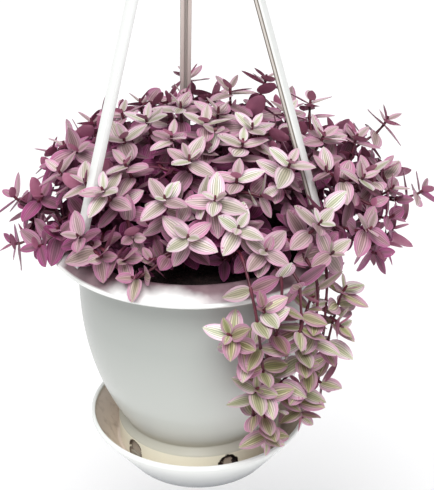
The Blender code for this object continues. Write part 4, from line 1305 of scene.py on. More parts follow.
def add_leaves(name, shoot, taken, seed):
    """Gives a shoot its pairs of leaves, each turned until it has room."""
    for level, pair in enumerate(shoot.pairs):
        ring = shoot.ring_at(pair.from_tip + NODE_LENGTH)
        for side in (pair.side, pair.side + 2):
            chance = random.Random(f"{seed} {level} {side}")
            for attempt in range(LEAF_ATTEMPTS):
                leaf = try_leaf(shoot, ring, side, pair, chance, attempt)
                bare = piece_of(name, *blade(leaf))
                wide = piece_of(name, *blade(leaf, ROOM))
                if crosses_own(bare, taken) or not (has_room(bare, taken) and has_room(wide, taken)):
                    continue
                shoot.leaves[ring, side] = leaf
                taken.append(bare)
                break


print("tries for each leaf", LEAF_ATTEMPTS)

# %% [markdown]
# ## A stem and its side shoot
#
# A side shoot leaves its stem part of the way up, on the side that faces its own tip.
# Both have to keep clear of everything else, so a stem that meets something is laid
# out again along a slightly different route.

# %% Grow one stem
Stem = namedtuple("Stem", "name shoots")


def stem_pieces(name, main, side_shoot, side, grow=0.0):
    """The bare main shoot, the side shoot, and the short joint between them."""
    below, above = main.corners(main.branch, grow), main.corners(main.branch + 1, grow)
    follow = (side + 1) % 4
    quad = [below[side], below[follow], above[follow], above[side]]
    joint = (quad + side_shoot.corners(0, grow), ring_walls(range(4), range(4, 8)))
    return [piece_of(name, *shape) for shape in (main.tube(grow), side_shoot.tube(grow), joint)]


def grow_stem(name, taken, chance, routes, pairs):
    """Tries routes for a stem and its side shoot until both have room."""
    for attempt in range(STEM_ATTEMPTS):
        wild = 0.6 + attempt * 0.08
        main_path, across, side_tip, side_aim, branch_share = routes(chance, wild)
        branch_from_tip = path_length(main_path) * branch_share
        main = Shoot(main_path, across, pairs, branch_from_tip, ROOT_DEPTH)
        foot = main.points[main.branch].lerp(main.points[main.branch + 1], 0.5)
        to_tip = side_tip - foot
        sides = [main.side_directions(main.branch, side)[0] for side in range(4)]
        branch_side = max(range(4), key=lambda side: sides[side].dot(to_tip))
        outward, right = main.side_directions(main.branch, branch_side)
        along = main.frames[main.branch][2]
        leave = (outward * 0.8 + along * 0.6).normalized()
        start = foot + outward * STEM_CORNER + leave * JOINT_LENGTH
        side_path = smooth_path([start, side_tip], leave, side_aim, PATH_STEPS)
        side_shoot = Shoot(side_path, right, pairs)
        wide = stem_pieces(name, main, side_shoot, branch_side, STEM_ROOM)
        if not all(has_room(piece, taken) for piece in wide):
            continue
        if meet(piece_of(name, *side_shoot.tube()), piece_of(name, *main.tube(0.0006))):
            continue
        bare = stem_pieces(name, main, side_shoot, branch_side)
        if any(crosses_own(piece, bare[:index]) for index, piece in enumerate(bare)):
            continue
        taken.extend(bare)
        return Stem(name, (main, side_shoot))
    return None


print("tries for each stem", STEM_ATTEMPTS)

# %% [markdown]
# ## Tips and routes
#
# The golden angle spreads the tips over the mound, as it spreads the seeds of a
# sunflower. A stem leaves the soil upright and bends out to its tip, and a trailing
# one arches over the rim and hangs. A fixed curve for each would be a long table, so
# a few pulls shape the curve, and chance changes them a little with each try.

# %% Place the tips and lay the routes
AIM_REACH = (0.13, 0.10, 0.085)
AIM_LIFT = 1.50
TRAIL_ROOT = 0.056
OVER_RIM_RADIUS = 0.086
OVER_RIM_HEIGHT = 0.192
TURN_DOWN_HEIGHT = 0.172


def mound_point(turn, rise):
    """A point on the lopsided mound: round it by turn, and up by rise, -1 to 1."""
    flat = math.sqrt(1 - rise * rise)
    reach_x = REACH_RIGHT if math.cos(turn) > 0 else REACH_LEFT
    reach_y = REACH_BACK if math.sin(turn) > 0 else REACH_FRONT
    offset = (math.cos(turn) * flat * reach_x, math.sin(turn) * flat * reach_y, rise * REACH_UP)
    return MOUND_CENTRE + Vector(offset)


def mound_aim(point):
    """The way a tip faces: out of the mound and up, so that its leaves lie nearly flat."""
    offset = point - MOUND_CENTRE
    out = Vector([length / reach**2 for length, reach in zip(offset, AIM_REACH)])
    return (out.normalized() + Vector((0, 0, AIM_LIFT))).normalized()


def mound_tips():
    """Tips spread over the mound by the golden angle, with the marked ones in their places."""
    tips = []
    for index in range(MOUND_TIPS):
        turn = index * GOLDEN_TURN
        lowest = 0.10 if math.sin(turn) < -0.5 else -0.26
        rise = 1 - ((index + 0.5) / MOUND_TIPS) ** 1.25 * (1 - lowest)
        tips.append(mound_point(turn, rise))
    free = list(range(MOUND_TIPS))
    for marked in MARKED_TIPS:
        nearest = min(free, key=lambda index: (tips[index] - Vector(marked)).length)
        tips[nearest] = Vector(marked)
        free.remove(nearest)
    return tips


def tip_pairs(tips):
    """Neighbouring tips, two by two, from the outside of the mound inwards."""
    left = sorted(range(len(tips)), key=lambda index: tips[index].z)
    while left:
        first = left.pop(0)
        second = min(left, key=lambda index: (tips[index] - tips[first]).length)
        left.remove(second)
        yield tips[first], tips[second]


def rooted_path(root, points, last_pull, lift):
    """A path that comes straight up out of its hole and then runs through points."""
    path = smooth_path([root] + points, Vector((0, 0, lift)), last_pull, PATH_STEPS)
    return [root - Vector((0, 0, ROOT_DEPTH))] + path


def shaken(point, chance, wild):
    return point + Vector([SHAKE * chance.gauss(0, wild) for _ in range(3)])


def mound_routes(main_tip, side_tip):
    def routes(chance, wild):
        flat = Vector((main_tip.x, main_tip.y, 0))
        middle = (flat + Vector((side_tip.x, side_tip.y, 0))) / 2
        reach = min(ROOT_REACH, middle.length * 0.60 + 0.004 * chance.gauss(0, wild))
        turn = math.atan2(middle.y, middle.x) + 0.10 * chance.gauss(0, wild)
        root = Vector((reach * math.cos(turn), reach * math.sin(turn), 0))
        root.z = soil_top(root.x, root.y) + CLEAR
        lift = 1.0 + 0.8 * max(0.0, (0.215 - main_tip.z) / 0.05) + 0.2 * abs(chance.gauss(0, wild))
        tip = shaken(main_tip, chance, wild - 0.6)
        path = rooted_path(root, [tip], mound_aim(tip) * 0.8, lift)
        twist = chance.uniform(0, 360)
        across = around(twist).to_3x3() @ Vector((1, 0, 0))
        share = min(0.62, max(0.42, 0.5 + 0.05 * chance.gauss(0, wild)))
        return path, across, shaken(side_tip, chance, wild - 0.6), mound_aim(side_tip) * 0.8, share
    return routes


def trailing_routes(trail):
    main_tip, side_tip = Vector(trail.main_tip), Vector(trail.side_tip)
    out = Vector((main_tip.x, main_tip.y, 0)).normalized()
    side_out = Vector((side_tip.x, side_tip.y, 0)).normalized() * 0.7 + Vector((0, 0, 0.25))

    def routes(chance, wild):
        bend = math.radians(trail.turn) + 0.04 * chance.gauss(0, wild)
        heading = Vector((math.cos(bend), math.sin(bend), 0))
        root = heading * (TRAIL_ROOT + 0.004 * chance.gauss(0, wild))
        root.z = soil_top(root.x, root.y) + CLEAR
        over = heading * OVER_RIM_RADIUS
        over.z = OVER_RIM_HEIGHT + 0.003 * chance.gauss(0, wild)
        outside = heading * (TRAIL_RADIUS + 0.004 * abs(chance.gauss(0, wild)))
        outside.z = TURN_DOWN_HEIGHT
        points = [over, outside]
        last_pull = out * 0.75 + Vector((0, 0, 0.10))
        if trail.low:
            low = shaken(Vector(trail.low), chance, wild - 0.6)
            points.append(low)
            last_pull = (main_tip - low).normalized() * 0.8 + out * 0.3
        elif main_tip.z < 0.110:
            points.append(outside.lerp(main_tip, 0.5) + out * 0.002)
        path = rooted_path(root, points + [main_tip], last_pull, 1.0)
        across = around(chance.uniform(0, 360)).to_3x3() @ Vector((1, 0, 0))
        hanging = range(2 * PATH_STEPS, len(path))
        branch = next(index for index in hanging if path[index].z < trail.branch_height)
        share = path_length(path[branch:]) / path_length(path) + 0.02 * chance.gauss(0, wild)
        share = min(0.70, max(0.10, share))
        return path, across, shaken(side_tip, chance, wild - 0.6), side_out, share
    return routes


mounded = mound_tips()
print("highest tip", round(max(tip.z for tip in mounded), 3))

# %% [markdown]
# ## The whole plant
#
# The trailing stems grow first, because they have the least room, and then the mound
# from the outside in. Leaves come last, when every stem has its place.

# %% Grow the plant
def grow_plant():
    """Every stem with its leaves, and all the room that they take."""
    taken = guards()
    stems = []
    for index, trail in enumerate(TRAILING_TIPS):
        name = f"trailing_stem_{index + 1}"
        stems.append(grow_stem(name, taken, random.Random(name), trailing_routes(trail), TRAIL_PAIRS))
    for index, (main_tip, side_tip) in enumerate(tip_pairs(mounded)):
        name = f"stem_{index + 1:02d}"
        routes = mound_routes(main_tip, side_tip)
        stems.append(grow_stem(name, taken, random.Random(name), routes, MOUND_PAIRS))
    surface = [(0.0005, SOIL_HEIGHT + SOIL_CROWN + 0.001), (BODY_RADIUS, SOIL_HEIGHT + 0.001)]
    taken.append(piece_of("soil", *turned_guard(surface)))
    for stem in stems:
        for number, shoot in enumerate(stem.shoots):
            add_leaves(stem.name, shoot, taken, f"{stem.name} {number}")
    return stems, taken


stems, taken = grow_plant()
trailing = [stem for stem in stems if stem.name.startswith("trailing")]
mound = [stem for stem in stems if not stem.name.startswith("trailing")]
print("stems", len(stems), "leaves", sum(len(shoot.leaves) for stem in stems for shoot in stem.shoots))

# %% [markdown]
# ## Filling the plant out
#
# A real mound holds far more leaves than the CAD needs. Two things fill it: older
# pairs of leaves lower down on the same shoots, and many short side shoots inside.
# They go through the same test for room, so they don't push through their
# neighbours. A blade may touch its own stem only at its foot, so the foot is left
# out of the test.

# %% Add older leaves lower on the shoots
FOOT_CLEARANCE = 0.0016
LOWER_PAIRS = (
    Pair(0.0215, 1, 0.0190, 4), Pair(0.0310, 0, 0.0185, 0), Pair(0.0420, 1, 0.0180, 0),
    Pair(0.0540, 0, 0.0170, 0), Pair(0.0670, 1, 0.0160, 0),
)
BETWEEN_PAIRS = tuple(Pair(0.0200 + 0.0200 * level, level % 2, 0.0180, 6) for level in range(6))


def add_fine_leaves(shoot, taken, seed):
    """Gives a shoot leaves that may stand closer to their own stem than to anything else."""
    for level, pair in enumerate(shoot.pairs):
        ring = shoot.ring_at(pair.from_tip + NODE_LENGTH)
        for side in (pair.side, pair.side + 2):
            owner = f"{seed} {level} {side}"
            chance = random.Random(owner)
            for attempt in range(LEAF_ATTEMPTS):
                leaf = try_leaf(shoot, ring, side, pair, chance, attempt)
                root = [corner + leaf.along * FOOT_CLEARANCE for corner in leaf.root]
                piece = piece_of(owner, *blade(leaf._replace(root=root), ROOM))
                if has_room(piece, taken):
                    shoot.leaves[ring, side] = leaf
                    taken.append(piece)
                    break


def fine_path(shoot):
    """A shoot's line as closely spaced points."""
    return resampled(smooth_path(shoot.points, shoot.frames[0][2], shoot.frames[-1][2], 6), 0.0025)


def lower_shoot(shoot, pairs):
    """The same shoot once more, with places for the older leaves."""
    in_soil = 0.016 if shoot.points[0].z < SOIL_HEIGHT else 0.0
    return Shoot(fine_path(shoot), shoot.frames[0][0], pairs, straight=in_soil)


lower = {}
for stem in trailing + mound:
    pairs = BETWEEN_PAIRS if stem in trailing else LOWER_PAIRS
    lower[stem.name] = [lower_shoot(shoot, pairs) for shoot in stem.shoots]
    for number, shoot in enumerate(lower[stem.name]):
        add_fine_leaves(shoot, taken, f"{stem.name} lower {number}")
print("lower leaves", sum(len(shoot.leaves) for shoots in lower.values() for shoot in shoots))

# %% [markdown]
# ## Short side shoots
#
# Between the stems a real plant is full of short shoots. Here each has a target: on
# shells inside the mound, low along its skirt, over the collar at the front left and
# in the trailing bunch. It grows there from the nearest stem, if it has room. That
# fills the gaps without a look at each one.

# %% Add short side shoots inside the mound
SHELLS = ((0.95, 70), (0.82, 60), (0.66, 44))
BUNCH_SHOOTS = 10
BUNCH_FROM = -68
BUNCH_TO = -36
SKIRT_SHOOTS = 60
RIM_SHOOTS = 16
RIM_FROM = -178
RIM_TO = -108
NEAREST_START = 0.015
FARTHEST_START = 0.060
STARTS_TRIED = 12
INNER_PAIRS = (
    Pair(0.0010, 1, 0.0110, 60), Pair(0.0034, 0, 0.0165, 34), Pair(0.0090, 1, 0.0190, 12),
    Pair(0.0170, 0, 0.0185, 4), Pair(0.0270, 1, 0.0180, 0),
)


def inner_target(share, index, count):
    """A tip's place on a shell inside the mound, lowest in front where the pot shows."""
    turn = index * GOLDEN_TURN + share * 20
    lowest = 0.02 if math.sin(turn) < -0.94 else -0.20
    rise = 1 - (index + 0.5) / count * (1 - lowest)
    return MOUND_CENTRE + (mound_point(turn, rise) - MOUND_CENTRE) * share


def bunch_target(index):
    """A tip's place in the bunch that trails over the rim."""
    share = (index + 0.5) / BUNCH_SHOOTS
    turn = math.radians(BUNCH_FROM + (BUNCH_TO - BUNCH_FROM) * (index * 0.618 % 1))
    reach = 0.112 - 0.012 * share
    return Vector((math.cos(turn) * reach, math.sin(turn) * reach, 0.176 - 0.105 * share))


def skirt_target(index):
    """A tip's place low on the mound's sides and back, where the light would show through."""
    turn = index * GOLDEN_TURN
    if math.sin(turn) < -0.75:
        turn = -turn
    rise = -0.18 + 0.40 * (index * 0.618 % 1)
    share = (0.72, 0.84, 0.94)[index % 3]
    return MOUND_CENTRE + (mound_point(turn, rise) - MOUND_CENTRE) * share


def rim_target(index):
    """A tip's place just over the collar at the front left, where leaves hide it."""
    share = (index + 0.5) / RIM_SHOOTS
    turn = math.radians(RIM_FROM + (RIM_TO - RIM_FROM) * share)
    reach = 0.084 + 0.006 * (index % 3)
    return Vector((math.cos(turn) * reach, math.sin(turn) * reach, 0.179 + 0.008 * (index % 2)))


def inner_shoot(target, aim, starts, taken, chance):
    """A shoot from one of the nearest stem points to a target, if one has room."""
    near = sorted(starts, key=lambda start: (start[0] - target).length)
    near = [start for start in near if NEAREST_START < (start[0] - target).length < FARTHEST_START]
    near = [start for start in near if (target - start[0]).dot(aim) > 0.004]
    for point, along in near[:STARTS_TRIED]:
        leave = ((target - point).normalized() + along * 0.5).normalized()
        path = smooth_path([point, target], leave, aim * 0.8, 16)
        across = around(chance.uniform(0, 360)).to_3x3() @ Vector((1, 0, 0))
        shoot = Shoot(path, across, INNER_PAIRS)
        free = Shoot(path[2:], across, ())
        if has_room(piece_of("inner", *free.tube(0.0002)), taken):
            taken.append(piece_of("inner", *shoot.tube()))
            return shoot
    return None


def free_points(stems):
    """Every place on some stems from which a side shoot could start."""
    starts = []
    for stem in stems:
        for shoot in stem.shoots:
            path = fine_path(shoot)
            if path[0].z < SOIL_HEIGHT:
                path = path[10:]
            starts += [(here, (there - here).normalized()) for here, there in zip(path, path[1:])]
    return starts


def side_shoots(targets, starts, taken, seed):
    """Short shoots to the targets that can be reached, with their leaves."""
    chance = random.Random(seed)
    grown = []
    for target, aim in targets:
        shoot = inner_shoot(target, aim, starts, taken, chance)
        if shoot:
            grown.append(shoot)
    for number, shoot in enumerate(grown):
        add_fine_leaves(shoot, taken, f"{seed} {number}")
    print(seed, len(grown), "shoots,", sum(len(shoot.leaves) for shoot in grown), "leaves")
    return grown


bunch_targets = []
for index in range(BUNCH_SHOOTS):
    target = bunch_target(index)
    outward = Vector((target.x, target.y, 0)).normalized()
    bunch_targets.append((target, (outward + Vector((0, 0, 0.3))).normalized()))
bunch = side_shoots(bunch_targets, free_points(trailing), taken, "bunch")
inner_targets = [rim_target(index) for index in range(RIM_SHOOTS)]
inner_targets += [skirt_target(index) for index in range(SKIRT_SHOOTS)]
for share, count in SHELLS:
    inner_targets += [inner_target(share, index, count) for index in range(count)]
inner = side_shoots(
    [(target, mound_aim(target)) for target in inner_targets], free_points(mound), taken, "inner"
)

# %% [markdown]
# ## Leaf finishes
#
# Seen from above, a leaf is olive green along the middle with paler and darker
# stripes that run from foot to tip, then a creamy band, and a pink to mauve margin.
# The underside is plain magenta purple. The stripes follow the blade, so they read
# the leaf's own unwrapping: across the blade in X and along it in Y. Leaves deep inside
# and low on the mound are painted much redder and darker, a painted shade over the
# plant's own pink and mauve, and leaves behind and at the sides are redder too. Each
# leaf carries this as a number.

# %% Make the leaf finishes
def number_on(tree, name):
    """A number that the mesh carries at each point."""
    made = add_node(tree, "ShaderNodeAttribute", attribute_name=name)
    return made.outputs["Fac"]


def leaf_top():
    material, tree, shader = new_material("striped upper side", Roughness=0.42)
    spot = add_node(tree, "ShaderNodeUVMap", uv_map="leaf").outputs[0]
    split = add_node(tree, "ShaderNodeSeparateXYZ", ((0, spot),)).outputs
    side = maths(tree, "ABSOLUTE", maths(tree, "MULTIPLY_ADD", split[0], 2.0, -1.0))
    shade = number_on(tree, "shade")
    blush = number_on(tree, "blush")
    lane = add_node(tree, "ShaderNodeCombineXYZ", (
        (0, maths(tree, "MULTIPLY", split[0], 11.0)),
        (1, maths(tree, "MULTIPLY", split[1], 1.2)),
        (2, maths(tree, "MULTIPLY", shade, 60.0)),
    )).outputs[0]
    streak = add_node(tree, "ShaderNodeTexNoise", (
        ("Vector", lane), ("Scale", 1.3), ("Detail", 3.0),
    )).outputs[0]
    # The green heart is narrower towards the tip, so the pink margin is wider there.
    narrowing = maths(tree, "MULTIPLY_ADD", maths(tree, "POWER", split[1], 2.0), 0.30, side)
    drift = maths(tree, "MULTIPLY_ADD", maths(tree, "SUBTRACT", streak, 0.5), 0.40, narrowing)
    place = maths(tree, "MULTIPLY_ADD", maths(tree, "SUBTRACT", shade, 0.5), 0.36, drift)
    pale = ramp(tree, place,
        (0.00, paint(192, 196, 162)), (0.34, paint(208, 211, 182)), (0.48, paint(234, 231, 218)),
        (0.66, paint(236, 228, 226)), (0.86, paint(240, 220, 228)), (1.00, paint(226, 190, 210)),
    )
    olive = ramp(tree, place,
        (0.00, paint(140, 144, 92)), (0.26, paint(156, 158, 106)), (0.38, paint(204, 198, 160)),
        (0.52, paint(172, 156, 130)), (0.72, paint(188, 156, 164)), (1.00, paint(178, 132, 154)),
    )
    mauve = ramp(tree, place,
        (0.00, paint(168, 142, 142)), (0.30, paint(184, 156, 158)), (0.42, paint(212, 186, 188)),
        (0.56, paint(198, 162, 174)), (0.78, paint(206, 164, 182)), (1.00, paint(192, 128, 160)),
    )
    # Painted shade: the deep ramp's darker, redder colours go on leaves deep inside and low on the mound.
    deep = ramp(tree, place,
        (0.00, paint(114, 70, 90)), (0.30, paint(142, 86, 112)), (0.60, paint(158, 82, 126)),
        (1.00, paint(144, 58, 110)),
    )
    middling = mixed(tree, number_on(tree, "hanging"), mauve, olive)
    lit = mixed(tree, between(tree, blush, 0.05, 0.50), pale, middling)
    base = mixed(tree, between(tree, blush, 0.50, 1.00), lit, deep)
    # Fine parallel lines run from foot to tip over the heart, some stronger than others.
    comb = maths(tree, "SINE", maths(tree, "MULTIPLY", split[0], 48.0))
    dark_lane = between(tree, maths(tree, "MULTIPLY_ADD", streak, 2.4, comb), 1.20, 1.85)
    inside = between(tree, narrowing, 0.95, 0.60, 0.0, 0.62)
    line = mixed(tree, blush, paint(124, 132, 106), paint(94, 46, 66))
    striped = mixed(tree, maths(tree, "MULTIPLY", dark_lane, inside), base, line)
    edge = between(tree, side, 0.91, 0.98, 0.0, 0.75)
    rim = mixed(tree, blush, paint(232, 196, 212), paint(194, 140, 170))
    edged = mixed(tree, edge, striped, rim)
    tone = add_node(tree, "ShaderNodeHueSaturation", (
        ("Value", maths(tree, "MULTIPLY_ADD", shade, 0.30, 0.93)), ("Color", edged),
    )).outputs[0]
    tree.links.new(tone, shader.inputs["Base Color"])
    veins = add_node(tree, "ShaderNodeTexWave", (
        ("Vector", spot), ("Scale", 4.2), ("Distortion", 1.0), ("Detail", 1.0),
    ), bands_direction="X").outputs["Fac"]
    relief = add_node(tree, "ShaderNodeBump", (("Strength", 0.35), ("Distance", 0.0004), ("Height", veins)))
    tree.links.new(relief.outputs[0], shader.inputs["Normal"])
    rough = maths(tree, "MULTIPLY_ADD", patches(tree, 3.0), 0.20, 0.34)
    tree.links.new(rough, shader.inputs["Roughness"])
    return material


def leaf_under():
    material, tree, shader = new_material("magenta underside", Roughness=0.45)
    shade = number_on(tree, "shade")
    base = mixed(tree, patches(tree, 8.0), paint(160, 86, 120), paint(206, 142, 166))
    tone = add_node(tree, "ShaderNodeHueSaturation", (
        ("Value", maths(tree, "MULTIPLY_ADD", shade, 0.5, 0.7)), ("Color", base),
    )).outputs[0]
    tree.links.new(tone, shader.inputs["Base Color"])
    return material


def stem_skin():
    material, tree, shader = new_material("burgundy stem", Roughness=0.45)
    base = ramp(tree, patches(tree, 7.0, 2.0), (0.30, paint(66, 26, 38)), (0.70, paint(112, 50, 66)))
    tree.links.new(base, shader.inputs["Base Color"])
    return material


LEAF_TOP = leaf_top()
LEAF_UNDER = leaf_under()
STEM_SKIN = stem_skin()
print("plant finishes", LEAF_TOP.name, LEAF_UNDER.name, STEM_SKIN.name)

# %% [markdown]
# ## The leaf
#
# A leaf is about 2 cm long: broad and rounded where it clasps the stem, widest
# before the middle, drawn out to a soft point, cupped along its middle and bent
# down a little. Hundreds are needed, so one leaf has under a hundred triangles, and
# the stripes are left to the finish. Seven forms with different bends stop the
# leaves from looking stamped.

# %% Shape the leaf forms
STATIONS = (
    (0.00, 0.30), (0.05, 0.58), (0.15, 0.84), (0.30, 0.98),
    (0.48, 1.00), (0.66, 0.88), (0.82, 0.63), (0.93, 0.36),
)
CUP = 0.050
THICKNESS = 0.020
LANES = (-1.0, -0.5, 0.0, 0.5, 1.0)


def leaf_point(share, lane, breadth, form, under=0.0):
    """A point of a leaf one unit long that lies along Y, upper side up."""
    bend, twist, wave = form
    cup = CUP * (0.3 + 0.7 * breadth)
    height = -cup * (1 - abs(lane) ** 1.2) - under * (0.4 + 0.6 * breadth)
    height += wave * abs(lane) * math.sin(share * 7.0 + lane)
    aside = lane * breadth * LEAF_BREADTH / 2
    turn = twist * share
    along = share - abs(lane) * 0.02
    x = aside * math.cos(turn) - height * math.sin(turn)
    z = aside * math.sin(turn) + height * math.cos(turn)
    return Vector((x, along, z - bend * share * share))


def leaf_form(number, form):
    """One closed leaf, with its unwrapping and a mark on its underside."""
    shape = bmesh.new()
    unwrapping = shape.loops.layers.uv.new("leaf")
    where = {}

    def corner(share, lane, breadth, under=0.0):
        made = shape.verts.new(leaf_point(share, lane, breadth, form, under))
        where[made] = ((lane + 1) / 2, share)
        return made

    rows = []
    for share, breadth in STATIONS:
        top = [corner(share, lane, breadth) for lane in LANES]
        rows.append((top, corner(share, 0.0, breadth, THICKNESS)))
    tip = shape.verts.new(leaf_point(1.0, 0.0, 0.0, form))
    where[tip] = (0.5, 1.0)
    upper = []
    lower_faces = []
    for (near, near_keel), (far, far_keel) in zip(rows, rows[1:]):
        upper += [(near[lane], near[lane + 1], far[lane + 1], far[lane]) for lane in range(4)]
        lower_faces += [(near[0], far[0], far_keel, near_keel), (near_keel, far_keel, far[4], near[4])]
    last, last_keel = rows[-1]
    upper += [(last[lane], last[lane + 1], tip) for lane in range(4)]
    lower_faces += [(last[0], tip, last_keel), (last_keel, tip, last[4])]
    first, first_keel = rows[0]
    lower_faces.append((*reversed(first), first_keel))
    for side, faces in ((False, upper), (True, lower_faces)):
        for corners in faces:
            face = shape.faces.new(corners)
            face.material_index = int(side)
            face.smooth = True
            for loop in face.loops:
                loop[unwrapping].uv = where[loop.vert]
    bmesh.ops.recalc_face_normals(shape, faces=shape.faces)
    mesh = mesh_from(shape, f"leaf form {number}")
    under = mesh.attributes.new("underside", "BOOLEAN", "FACE")
    under.data.foreach_set("value", [polygon.material_index == 1 for polygon in mesh.polygons])
    for polygon in mesh.polygons:
        polygon.material_index = 0
    mesh.set_sharp_from_angle(angle=math.radians(75))
    return mesh


FORMS = (
    (0.03, 0.00, 0.000), (0.05, 0.16, 0.008), (0.07, -0.14, 0.006), (0.09, 0.06, 0.012),
    (0.11, -0.08, 0.010), (0.13, 0.12, 0.006), (0.15, -0.18, 0.010),
)
form_box = bpy.data.collections.new("leaf forms")
for number, form in enumerate(FORMS):
    form_box.objects.link(bpy.data.objects.new(f"form {number}", leaf_form(number, form)))
print("triangles in a leaf", sum(len(p.vertices) - 2 for p in form_box.objects[0].data.polygons))

# %% [markdown]
# ## Setting the leaves
#
# Instance on Points puts a leaf at each foot. The points carry how each leaf turns,
# how long it is, which form it takes, and its blush and shade. Realize Instances
# makes real mesh of them, since an instance would be lost when the model is saved.

# %% Build the tree that sets leaves
def leaf_tree():
    inputs = (
        ("Feet", "Geometry"), ("Forms", "Collection"), ("Upper finish", "Material"),
        ("Under finish", "Material"),
    )
    tree = new_tree("Geometry", "leaves on their feet", inputs, (("Leaves", "Geometry"),))
    source = add_node(tree, "NodeGroupInput").outputs
    forms = add_node(tree, "GeometryNodeCollectionInfo", (
        ("Collection", source["Forms"]), ("Separate Children", True), ("Reset Children", True),
    ))
    set_out = add_node(tree, "GeometryNodeInstanceOnPoints", (
        ("Points", source["Feet"]), ("Instance", forms.outputs[0]), ("Pick Instance", True),
        ("Instance Index", carried(tree, "form", "INT")),
        ("Rotation", carried(tree, "turn", "QUATERNION")), ("Scale", carried(tree, "size")),
    ))
    real = add_node(tree, "GeometryNodeRealizeInstances", ((0, set_out.outputs[0]),))
    top = add_node(tree, "GeometryNodeSetMaterial", (
        (0, real.outputs[0]), ("Material", source["Upper finish"]),
    ))
    both = add_node(tree, "GeometryNodeSetMaterial", (
        (0, top.outputs[0]), ("Selection", carried(tree, "underside", "BOOLEAN")),
        ("Material", source["Under finish"]),
    ))
    add_node(tree, "NodeGroupOutput", ((0, both.outputs[0]),))
    return tree


LEAF_TREE = leaf_tree()


def hanging_share(foot):
    """How far a foot belongs to the bunch that hangs over the rim, from 0 to 1."""
    if foot.y > -0.04:
        return 0.0
    return min(1.0, max(0.0, (0.195 - foot.z) / 0.040))


def redness_and_shade(leaf):
    """How red and dark a leaf is painted: most deep inside and low on the mound, a painted shade, and more
    behind and at the sides.
    """
    centre = leaf.foot + leaf.along * leaf.length * 0.5
    out = centre - MOUND_CENTRE
    shell = math.sqrt((out.x / 0.145) ** 2 + (out.y / 0.105) ** 2 + (out.z / 0.080) ** 2)
    trails = centre.z < 0.168 and centre.y < -0.04
    depth = 0.0 if trails else max(0.0, 1.0 - shell) * 2.2
    behind = max(0.0, centre.y + 0.01) * 4.0
    aside = max(0.0, -centre.x - 0.035) * 3.0 + max(0.0, centre.x - 0.060) * 2.6
    low = 0.0 if trails else max(0.0, 0.210 - centre.z) * 14.0
    return (0.42 if trails else 0.12) + depth + behind + (0.0 if trails else aside + low)


def nearest_form(leaf, chance):
    """The number of the leaf form whose bend is near a leaf's own, give or take some chance."""
    misfits = [abs(form[0] - abs(leaf.arch) + chance.gauss(0, 0.02)) for form in FORMS]
    return misfits.index(min(misfits))


def feet_mesh(leaves, seed):
    """One point for each leaf, at its foot, with all that the tree needs to know."""
    chance = random.Random(seed)
    mesh = bpy.data.meshes.new("feet")
    mesh.from_pydata([leaf.foot for leaf in leaves], [], [])
    turns = []
    for leaf in leaves:
        upper = leaf.normal * leaf.face
        facing = Matrix((leaf.along.cross(upper), leaf.along, upper)).transposed()
        turns += list(facing.to_quaternion())
    carry(mesh, "turn", "QUATERNION", turns)
    carry(mesh, "size", "FLOAT", [leaf.length for leaf in leaves])
    carry(mesh, "form", "INT", [nearest_form(leaf, chance) for leaf in leaves])
    # The blush is partly painted shade: leaves deep inside and low on the mound get more of it.
    shade_blushes = [min(1.0, max(0.0, redness_and_shade(leaf) + chance.gauss(0, 0.14))) for leaf in leaves]
    carry(mesh, "blush", "FLOAT", shade_blushes)
    carry(mesh, "hanging", "FLOAT", [hanging_share(leaf.foot) for leaf in leaves])
    carry(mesh, "shade", "FLOAT", [chance.random() for _ in leaves])
    return mesh


def leaves_of(shoots):
    return [leaf for shoot in shoots for leaf in shoot.leaves.values()]


def leafy_piece(name, shoots, nodes):
    """All the leaves of some shoots, as one piece."""
    leaves = leaves_of(shoots)
    values = {"Forms": form_box, "Upper finish": LEAF_TOP, "Under finish": LEAF_UNDER}
    mesh = run_tree(LEAF_TREE, feet_mesh(leaves, name), values)
    finish_piece(name, mesh, "foliage", *nodes)
    print(len(leaves), "leaves")


mound_nodes = [stem.name for stem in mound]
trailing_nodes = [stem.name for stem in trailing]
mound_shoots = [shoot for stem in mound for shoot in (*stem.shoots, *lower[stem.name])]
trailing_shoots = [shoot for stem in trailing for shoot in (*stem.shoots, *lower[stem.name])]
leafy_piece("mound_leaves", mound_shoots, mound_nodes)
leafy_piece("trailing_leaves", trailing_shoots + bunch, trailing_nodes)
leafy_piece("inner_leaves", inner, mound_nodes)

# %% [markdown]
# ## The stems
#
# Each stem is a thin burgundy rod, thicker at the soil than at the tip, with a
# swelling where each pair of leaves sits. The rod tree from the hook makes them:
# only the lines and their thickness are new.

# %% Draw the stems
ROOT_THICKNESS = 0.00115
TIP_THICKNESS = 0.00075
SWELLING = 1.28
SWELLING_REACH = 0.0022


def stem_line(shoot, leafy):
    """Points with a thickness along a shoot, swollen where the leaves of some shoots sit."""
    joints = [leaf.foot for leaf in leaves_of(leafy)]
    points = fine_path(shoot)
    line = []
    for step, point in enumerate(points):
        share = step / (len(points) - 1)
        thick = ROOT_THICKNESS + (TIP_THICKNESS - ROOT_THICKNESS) * share
        close = min(((joint - point).length for joint in joints), default=1.0)
        if close < SWELLING_REACH:
            thick *= SWELLING
        line.append((point, thick))
    return line


def stem_piece(name, groups, nodes):
    """All the rods of some shoots, as one piece."""
    lines = [stem_line(shoot, leafy) for shoot, leafy in groups]
    mesh = run_tree(ROUND_BAR, lines_mesh(lines), {"Sides": 7, "Finish": STEM_SKIN})
    finish_piece(name, mesh, "foliage", *nodes)


def with_older(stems):
    """Each shoot of some stems, and the same shoot with its older leaves."""
    groups = []
    for stem in stems:
        groups += [(shoot, (shoot, older)) for shoot, older in zip(stem.shoots, lower[stem.name])]
    return groups


